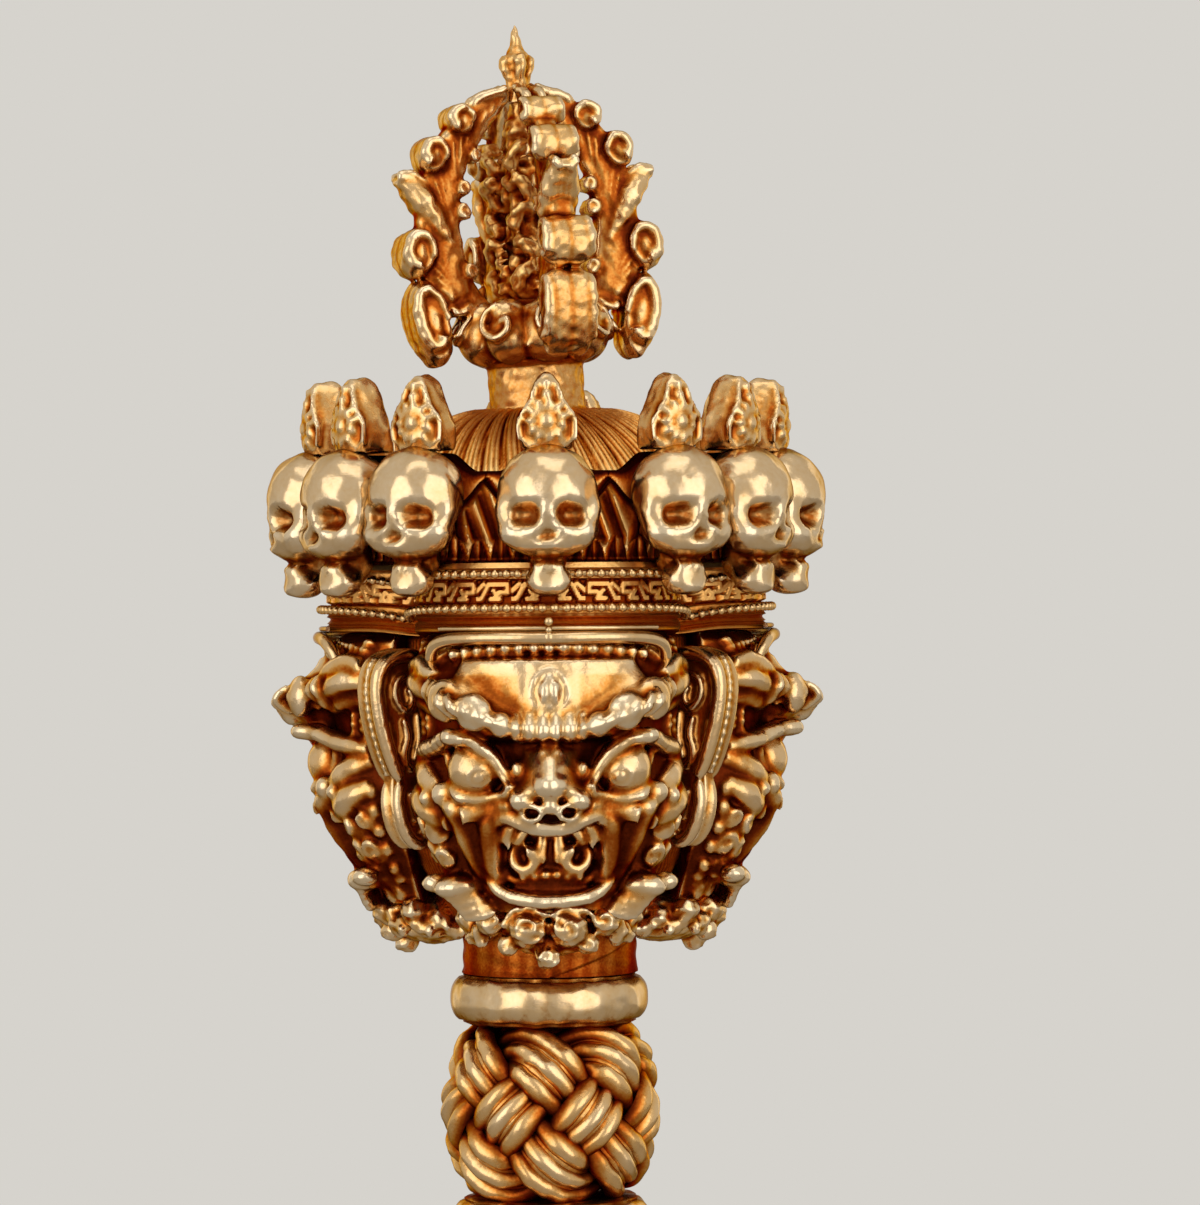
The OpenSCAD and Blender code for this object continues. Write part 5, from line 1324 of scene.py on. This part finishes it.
def crown_wall_form():
    """Outer radius = wall + leaves; a leaf is raised where |s| < its half-width, with a groove."""
    a = around(960)
    h = np.concatenate([np.linspace(0, 10.4, 48), [10.6]])[:, None]
    turn = a + math.pi / 2
    # Small leaves round the foot, about 3 mm tall
    s = (turn * SMALL_LEAVES / TAU + 0.5) % 1 - 0.5
    tall = 3.1 + 0.4 * np.sin(turn * 23)
    wide = 0.46 * np.sqrt(np.clip(1 - (h / tall) ** 1.7, 0, 1))
    leaf = ease(-0.05, 0.09, wide - np.abs(s)) * (0.75 - 0.35 * np.exp(-(s / 0.1) ** 2)) * ease(3.6, 3.0, h)
    # Tall leaves: one in each gap, with a rolled edge
    gaps = np.radians(np.array(SKULL_TURNS + [360.0]))
    middle, half = (gaps[1:] + gaps[:-1]) / 2, (gaps[1:] - gaps[:-1]) / 2
    k = np.argmin(np.abs(((turn[..., None] % TAU) - middle + math.pi) % TAU - math.pi), -1)
    across = (((turn % TAU) - middle[k] + math.pi) % TAU - math.pi) * CROWN_R
    room = np.minimum(half[k] * CROWN_R * 0.62, 3.0)
    shape = room * np.sqrt(np.clip(1 - ((h - 4.4) / 5.2) ** 2, 0, 1)) * (1 - 0.45 * ease(5, 9.5, h))
    inside = shape - np.abs(across)
    shell = 1.2 * ease(-0.1, 0.25, inside) - 0.75 * ease(0.45, 0.95, inside)
    shell = shell + 0.35 * np.cos(across * 3.4 + h) * ease(0.6, 1.0, inside)
    r = CROWN_R + np.maximum(leaf, shell * ease(1.8, 3.0, h)) + 0.25 * ease(0.5, 0.2, h)
    # The upper edge dips between the skulls, so that the hair shows over it
    dip = 1 - 0.17 * ease(0.25, 0.8, 1 - np.abs(across) / (half[k] * CROWN_R))
    inner = upright(CROWN_R - 1.6, a, Z_CROWN + np.array([10.6, 2.0])[:, None] * dip)
    foot = upright(CROWN_FOOT_R, a, Z_CROWN + 0.05)
    return closed_loop(np.concatenate([upright(r, a, Z_CROWN + h * dip), inner, foot]).transpose(1, 0, 2))


dress("crown_wall_ring", crown_wall_form(), RECESSED)

# %% [markdown]
# Inside the crown the hair is combed up to the knot under the finial, in locks that lean as they run.

# %% Hair dome
DOME_R, DOME_TOP_R, DOME_Z = 19.2, 5.4, 229.3


def dome_form():
    """Revolved arc from the rim up to the stem, cut by grooves |sin| that lean with the radius."""
    a = around(960)
    f = np.linspace(0, 1, 44)[:, None]
    r = DOME_R + (DOME_TOP_R - DOME_R) * f
    z = DOME_Z + (Z_STEM + 0.2 - DOME_Z) * np.sin(math.pi / 2 * f) ** 0.62
    lock = np.abs(np.sin(21 * a + 5 * f + 0.6 * np.sin(4 * a + 3 * f)))
    strand = np.abs(np.sin(84 * a + 20 * f + 0.8 * np.sin(9 * a)))
    z = z + (0.5 * (lock**0.7 - 0.6) + 0.26 * strand) * ease(1.0, 0.85, f) * ease(0, 0.08, f)
    return closed_tube(np.concatenate([upright(DOME_R, a, DOME_Z - 1.5), upright(r, a, z)]))


dress("hair_dome", dome_form(), RECESSED)

# %% [markdown]
# The finial is a small half vajra: a plain stem, a lotus with swollen lobes, four scrolled prongs closed over
# a fifth, and a bud where they meet. The stem was filed and shows it in long flats.

# %% Stem, lotus and bud
FINIAL_TURN, STEM_R, STEM_H, LOTUS_H = 18.0, 4.75, 5.4, 6.0
LOTUS_VOXEL, BUD_VOXEL = 0.21, 0.11


def stem_form():
    """Column of radius STEM_R with a soft collar at each end, and six long flats from the file."""
    f = np.linspace(0, 1, 40)
    r = STEM_R + 0.35 * (np.exp(-((f - 0.03) / 0.06) ** 2) + np.exp(-((f - 0.95) / 0.05) ** 2))

    def flats(a, z):
        return -0.1 * np.abs(np.sin(3 * a + 0.4)) ** 3
    return turned(np.stack([r, Z_STEM + STEM_H * f], -1), 160, flats)


stem = hammered(stem_form(), 0.04, 1.4, 7)
up = stem[0][:, 2] - Z_STEM
# Painted shade: darker at both ends, where the stem meets the lotus and the hair dome
shaded_hollow = 0.46 + 0.15 * ease(STEM_H - 1.2, STEM_H, up) + 0.12 * ease(0.8, 0.1, up)
dress("finial_stem", leaned(stem), GILT, shaded_hollow)


def lotus_form():
    """A cup with eight swollen lobes; a hooked line curls over each, a petal's edge between."""
    parts = [turned([(4.7, 0.0), (6.0, 1.6), (6.3, 3.4), (5.2, 5.0), (3.4, LOTUS_H)], 96)]
    curled = [(-0.2, -7.0, 5.6), (-1.6, -7.1, 4.6), (-1.7, -7.6, 3.0), (-0.2, -8.0, 2.1), (1.1, -7.8, 2.9),
              (0.9, -7.5, 4.0), (0.0, -7.5, 3.7)]
    petal = [(2.5, -6.3, 1.0), (2.9, -5.6, 3.2), (2.0, -4.9, 5.4)]
    for k in range(8):
        wide = 2.5 if k % 2 else 3.1
        lobe = join(ball((0, -4.9, 2.4), (wide, 2.9, 2.9), 20, 28),
                    ball((0, -5.3, 4.4), (wide * 0.72, 2.1, 1.7), 16, 24),
                    tapered(curled, 0.42), tapered(petal, 0.4))
        parts.append(moved(lobe, turn=FINIAL_TURN + 45 * k))
    return fuse(moved(join(*parts), (0, 0, Z_LOTUS)), LOTUS_VOXEL, 2)


dress("lotus_base", leaned(lotus_form()), GILT)


def bud_form():
    """Stem of four ribs, a collar of four leaning lumps, and a spike."""
    profile = [(1.1, -1.6), (1.05, 0.0), (1.0, 1.2), (1.3, 2.3), (1.2, 3.0), (0.85, 3.6), (0.6, 4.1),
               (0.5, 4.7), (0.27, 5.6), (0.07, 6.18)]
    f = np.linspace(0, 1, 30)
    rib = tube(smooth_path([(0, -0.7, -0.6), (0, -0.8, 0.8), (0, -1.15, 2.0), (0, -1.05, 3.1)], 30),
               (0.4 + 0.38 * f) * (1 - 0.45 * ease(0.8, 1, f)), 12)
    bud = join(turned(profile, 48), *[moved(rib, turn=FINIAL_TURN + 90 * k) for k in range(4)])
    return hammered(filled(fuse(moved(bud, (0, 0, Z_BUD)), BUD_VOXEL, 1), 4, 0.5), 0.03, 1.0, 6)


dress("finial_bud", leaned(bud_form()), GILT)

# %% [markdown]
# A prong is a thick leaf that stands on edge and bends in to the tip. Heavy volutes roll out along its back,
# one long curl hangs at its foot, and fine veins fan out to them from its inner edge. The leaf is drawn in a
# plane, r out from the axis and z up, then given its thickness. A volute is two fat rolls side by side, with
# a spiral ridge on each flank.

# %% Prongs
PRONG_VOXEL, CENTRE_VOXEL = 0.19, 0.2
LEAF_Z = [251.6, 253, 255, 258, 262, 266, 268.5, 270.5, 272.0, 273.2]
LEAF_INNER = [3.8, 5.2, 6.3, 7.0, 7.0, 6.0, 4.4, 2.5, 1.3, 0.9]
LEAF_OUTER = [9.2, 10.5, 11.3, 11.7, 11.4, 10.4, 9.0, 7.0, 4.4, 1.8]


def leaf_section(z, c):
    """Distance out and half thickness at height z for c = cos v: thick by the volutes, thin at the edges."""
    inner, outer = np.interp(z, LEAF_Z, LEAF_INNER), np.interp(z, LEAF_Z, LEAF_OUTER)
    out = (inner + outer) / 2 + (outer - inner) / 2 * np.sign(c) * np.abs(c) ** 0.6
    half = np.interp(z, [LEAF_Z[0], 262, LEAF_Z[-1]], [1.35, 1.15, 0.95])
    return out, half * (1 + 0.35 * c) * np.clip(1 - c * c, 0, 1) ** 0.25


def leaf_plate():
    """Plate between an inner and an outer edge, r(z); its section across is a flattened round."""
    z = np.linspace(LEAF_Z[0], LEAF_Z[-1], 110)[:, None]
    v = around(36)
    r, half = leaf_section(z, np.cos(v) + 0 * z)
    return closed_tube(np.stack([half * np.sign(np.sin(v)), -r, z + 0 * r], -1))


def volute(r, z, size, half, start, turns=0.72, lean=0.0):
    """Two fat rolls of radii size side by side, leaned by degrees, a comma-shaped ridge on each flank."""
    parts = []
    v = around(36)
    u = np.linspace(-1, 1, 13)[:, None]
    q = 0.95 * (1 - 0.2 * np.abs(u) ** 3)
    for side in (-1, 1):
        x = side * half * 0.4 + half * 0.64 * u
        parts.append(closed_tube(np.stack([x + 0 * v, -size[0] * q * np.cos(v), size[1] * q * np.sin(v)],
                                          -1)))
        # The rolled leaf swells again inside the ridge
        dome = (half * 0.42, size[0] * 0.56, size[1] * 0.6)
        parts.append(ball((side * half * 0.78, 0, -0.06 * size[1]), dome, 18, 26))
        s = np.linspace(0, 1, 70)
        a = math.radians(start) - TAU * turns * s
        w = 0.8 - 0.42 * s**1.5
        ridge = np.stack([side * (half * 0.96 + 0.1 * s), -size[0] * w * np.cos(a), size[1] * w * np.sin(a)],
                         -1)
        thick = np.interp(s, [0, 0.35, 1], [0.3, 0.5, 0.72]) * min(size) / 1.7
        parts.append(tube(ridge, thick, 12, up=(side, 0, 0)))
    return moved(moved(join(*parts), turn=lean, axis="x"), (0, -r, z))


def flank_bar(path, across, thick, side, sides=10):
    """Bar along (r, z) points at the distance across from the leaf's middle plane, on one flank."""
    return tube(np.stack([across + 0 * path[:, 0], -path[:, 0], path[:, 1]], -1), thick, sides,
                up=(side, 0, 0))


def vein(points, thick):
    """A ridge on both flanks of the leaf through (r, z) points."""
    path = smooth_path(points, 44)
    inner, outer = np.interp(path[:, 1], LEAF_Z, LEAF_INNER), np.interp(path[:, 1], LEAF_Z, LEAF_OUTER)
    f = np.clip((2 * path[:, 0] - inner - outer) / (outer - inner), -0.97, 0.97)
    half = leaf_section(path[:, 1], np.sign(f) * np.abs(f) ** (1 / 0.6))[1]
    return join(*[flank_bar(path, side * half, swell(44, thick, thick * 0.4), side, 8) for side in (-1, 1)])


def prong_form():
    """Leaf, volutes down its back, the long hanging curl, the pointed tip, veins and inner hooks."""
    parts = [leaf_plate(), volute(6.6, 270.4, (1.6, 1.6), 1.7, 190),
             volute(9.7, 267.0, (1.65, 2.0), 1.85, 190, lean=-14),
             volute(11.9, 257.3, (1.9, 2.6), 2.1, 190, 0.8, -8),
             volute(10.9, 250.3, (2.0, 4.6), 2.15, 180, 0.85, 12)]
    top = smooth_path([(5.4, 271.7), (4.2, 272.5), (2.9, 272.9), (1.4, 273.5)], 40)
    parts += [flank_bar(top, side * 0.75, swell(40, 0.6, 0.35), side) for side in (-1, 1)]
    # Pointed tip: thick bars side by side that turn up and out, and thin ones that curl over them
    tip = smooth_path([(8.4, 258.2), (9.7, 260.4), (10.9, 262.5), (12.2, 264.1), (13.4, 264.8)], 44)
    thick = evenly((0.5, 1.1, 1.35, 1.0, 0.45), 44)
    for across in (-1, -0.35, 0.35, 1):
        down = abs(across)
        ray = np.stack([across * np.linspace(1, 0.5, 44), 0.12 * down - tip[:, 0], tip[:, 1] - 0.1 * down],
                       -1)
        parts.append(tube(ray, thick, 12, up=(1, 0, 0)))
    for low, side in ((0.0, -1), (0.0, 1), (0.7, -1), (0.7, 1)):
        over = [(10.1, 263.9 - low), (11.3, 264.9 - low), (12.4, 265.3 - low * 0.7),
                (13.4, 265.0 - low * 0.3)]
        parts.append(flank_bar(smooth_path(over, 36), side * (0.95 + 0.2 * low), swell(36, 0.4, 0.25), side))
    # Fine veins, one to each of these ends and one more between each two
    ends = [(9.9, 253.8), (10.4, 256.0), (10.7, 258.8), (10.9, 261.0), (11.0, 262.9), (9.6, 264.4),
            (8.6, 266.4), (7.4, 268.2), (5.6, 269.7), (3.8, 271.1), (2.0, 272.2)]
    ends = smooth_path(ends, 2 * len(ends) - 1)
    for k, (r, z) in enumerate(ends):
        f = k / (len(ends) - 1)
        foot_r, foot_z = 8.4 - 1.5 * f, 252.4 + 0.9 * f
        knee = (foot_r + 0.42 * (r - foot_r) * (1 - f) + (0.55 - 0.2 * f) * f, foot_z + 0.55 * (z - foot_z))
        parts.append(vein([(foot_r, foot_z), (foot_r + 0.25, foot_z + 0.2 * (z - foot_z)), knee, (r, z)],
                          0.3))
    parts += [vein(line, 0.42) for line in ([(6.6, 252.0), (8.0, 251.2), (8.9, 251.8)],
                                            [(6.2, 251.8), (7.4, 250.0), (8.6, 248.8)])]
    parts += [volute(r, z, (size, size * 1.15), 1.15, 250, 1.0)
              for r, z, size in ((6.6, 263.6, 0.75), (6.8, 261.3, 0.8), (6.4, 255.4, 0.75),
                                 (5.2, 266.8, 0.65))]
    return filled(fuse(join(*parts), PRONG_VOXEL, 1), 6, 0.6)


prong = prong_form()
# A little darker on the flanks between the volutes, within about 11 mm of the axis
flank = ease(11.2, 9.6, np.hypot(prong[0][:, 1], prong[0][:, 0])) * band(250, 269, prong[0][:, 2], 3)
prong_hollow = np.clip(hollow_of(prong, 4, 40, (3.4, 0.9)) + 0.02 + 0.06 * flank, 0, 1)
prong = hammered(prong, 0.04, 1.5, 9)
for k, name in enumerate(["prong_front", "prong_right", "prong_back", "prong_left"]):
    dress(name, leaned(moved(prong, turn=FINIAL_TURN + 90 * k)), GILT, prong_hollow)


def centre_prong_form():
    """Lathe spindle with beads, four ribs of curled leaves, and cross-cut lines round its foot."""
    parts = [turned([(1.6, -0.4), (2.9, 0.9), (3.0, 2.4), (1.9, 4.2), (2.5, 6.2), (1.8, 8.2), (2.6, 10.8),
                     (2.0, 14.0), (1.4, 15.6), (1.9, 16.8), (1.2, 18.2), (1.0, 19.6)], 64)]
    for k in range(4):
        rib, notches = [], []
        for i, z in enumerate((0.2, 2.9, 6.2, 9.0, 12.3)):
            leaf = [(-0.3, -1.6, z), (0.5, -2.8, z + 0.8), (0.2, -3.7, z + 2.0), (-0.9, -3.4, z + 2.9),
                    (-0.9, -2.6, z + 2.2)]
            rib.append(moved(tapered(leaf, 0.75, 30), turn=14 * (i % 2) + 5 * k, mirror=bool((i + k) % 2)))
        rib += [ball((0, -2.7, z), (0.9, 0.9, 1.0), 10, 14) for z in (3.6, 7.6, 11.6)]
        for z in np.arange(1.2, 6.0, 0.75):
            notches.append(tapered([(-1.1, -2.6, z), (0, -3.1, z - 0.25), (1.1, -2.6, z)], 0.26, 16))
        parts += [moved(join(*rib), turn=FINIAL_TURN + 45 + 90 * k),
                  moved(join(*notches), turn=FINIAL_TURN + 90 * k)]
    form = fuse(moved(join(*parts), (0, 0, Z_CAGE)), CENTRE_VOXEL, 1)
    return hammered(filled(form, 4, 0.5), 0.1, 1.5, 2)


dress("centre_prong", leaned(centre_prong_form()), RECESSED)

# %% [markdown]
# The studio: a pale floor under the point, two big soft boxes beside the camera, one above it and two behind.
# Gold shows only what it mirrors, so the two in front give it broad shines with a darker gap between them.

# %% Floor, lamps and world
def floor_disc(radius=1.3):
    """A flat disc whose edge fades into the backdrop."""
    bpy.ops.mesh.primitive_circle_add(vertices=128, radius=radius, fill_type="NGON", location=(0, 0, 0))
    disc = bpy.context.object
    disc.name = "floor"
    material = bpy.data.materials.new("pale_floor")
    material.use_nodes = True
    tree = material.node_tree
    tree.nodes.clear()
    where = add(tree, "ShaderNodeTexCoord").outputs["Object"]
    far = add(tree, "ShaderNodeVectorMath", {0: where}, operation="LENGTH").outputs["Value"]
    fade = add(tree, "ShaderNodeMapRange", {"Value": far, "From Min": radius * 0.55, "From Max": radius
                                            * 0.98})
    paint = add(tree, "ShaderNodeBsdfPrincipled", {"Base Color": linear("#D9D6D0"), "Roughness": 0.6})
    clear = add(tree, "ShaderNodeBsdfTransparent")
    both = add(tree, "ShaderNodeMixShader", {0: fade.outputs[0], 1: paint.outputs[0], 2: clear.outputs[0]})
    add(tree, "ShaderNodeOutputMaterial", {"Surface": both.outputs[0]})
    disc.data.materials.append(material)


def soft_box(name, azimuth, height, distance, size, radiance, aim=0.21):
    """An area lamp of even radiance: power = radiance * pi * area."""
    lamp = bpy.data.lights.new(name, "AREA")
    lamp.shape, lamp.size, lamp.size_y = "RECTANGLE", size[0], size[1]
    lamp.energy = radiance * math.pi * size[0] * size[1]
    obj = bpy.data.objects.new(name, lamp)
    bpy.context.scene.collection.objects.link(obj)
    a = math.radians(azimuth)
    obj.location = (distance * math.sin(a), -distance * math.cos(a), height)
    away = obj.location - Vector((0, 0, aim))
    obj.rotation_mode = "QUATERNION"
    obj.rotation_quaternion = away.to_track_quat("Z", "Y")


floor_disc()
# Name, azimuth in degrees, height and distance in metres, size and radiance
for box in (("box_left", -44, 0.32, 0.9, (0.75, 1.1), 1.15), ("box_right", 38, 0.32, 0.9, (0.75, 1.1), 1.15),
            ("box_top", 0, 1.3, 0.35, (0.9, 0.7), 0.9), ("box_back_left", -150, 0.35, 1.0, (0.7, 1.1), 0.8),
            ("box_back_right", 145, 0.35, 1.0, (0.7, 1.1), 0.8)):
    soft_box(*box)

world = bpy.data.worlds.new("studio")
bpy.context.scene.world = world
world.use_nodes = True
tree = world.node_tree
tree.nodes.clear()
ray = add(tree, "ShaderNodeLightPath")
room = add(tree, "ShaderNodeBackground", {"Color": linear("#847C72"), "Strength": 1.0})
wall = add(tree, "ShaderNodeBackground", {"Color": linear("#D6D3CD"), "Strength": 1.0})
straight = add(tree, "ShaderNodeMath", {0: ray.outputs["Is Camera Ray"], 1: ray.outputs["Is Glossy Ray"]},
               operation="MAXIMUM")
shown = add(tree, "ShaderNodeMath", {0: straight.outputs[0], 1: ray.outputs["Is Transmission Ray"]},
            operation="MAXIMUM")
seen = add(tree, "ShaderNodeMixShader", {0: shown.outputs[0], 1: room.outputs[0], 2: wall.outputs[0]})
add(tree, "ShaderNodeOutputWorld", {"Surface": seen.outputs[0]})

# %% [markdown]
# The photograph was taken from half a metre, level with the diadem, about one degree to the left of the front
# face, and the dagger leans a little to the left in it. The camera is rolled by that lean, so that the object
# stays upright in its own frame.

# %% Camera
CAM_DISTANCE, CAM_AZIMUTH, SENSOR = 500.0, -1.0, 36.0
VIEW_HIGH, LEAN = 119.9, 0.5
CENTRE_X, CENTRE_Z = 5.3, 222.15
camera = bpy.data.cameras.new("camera")
camera.sensor_width = SENSOR
camera.lens = SENSOR * CAM_DISTANCE / VIEW_HIGH
camera.clip_start, camera.clip_end = 0.01, 20.0
eye = bpy.data.objects.new("camera", camera)
bpy.context.scene.collection.objects.link(eye)
a = math.radians(CAM_AZIMUTH)
target = Vector((CENTRE_X * math.cos(a) * MM, CENTRE_X * math.sin(a) * MM, CENTRE_Z * MM))
eye.location = target + Vector((math.sin(a), -math.cos(a), 0)) * CAM_DISTANCE * MM
eye.rotation_euler = (target - eye.location).to_track_quat("-Z", "Y").to_euler()
eye.rotation_euler.rotate_axis("Z", -math.radians(LEAN))
bpy.context.scene.camera = eye
bpy.context.scene.view_settings.view_transform = "Standard"
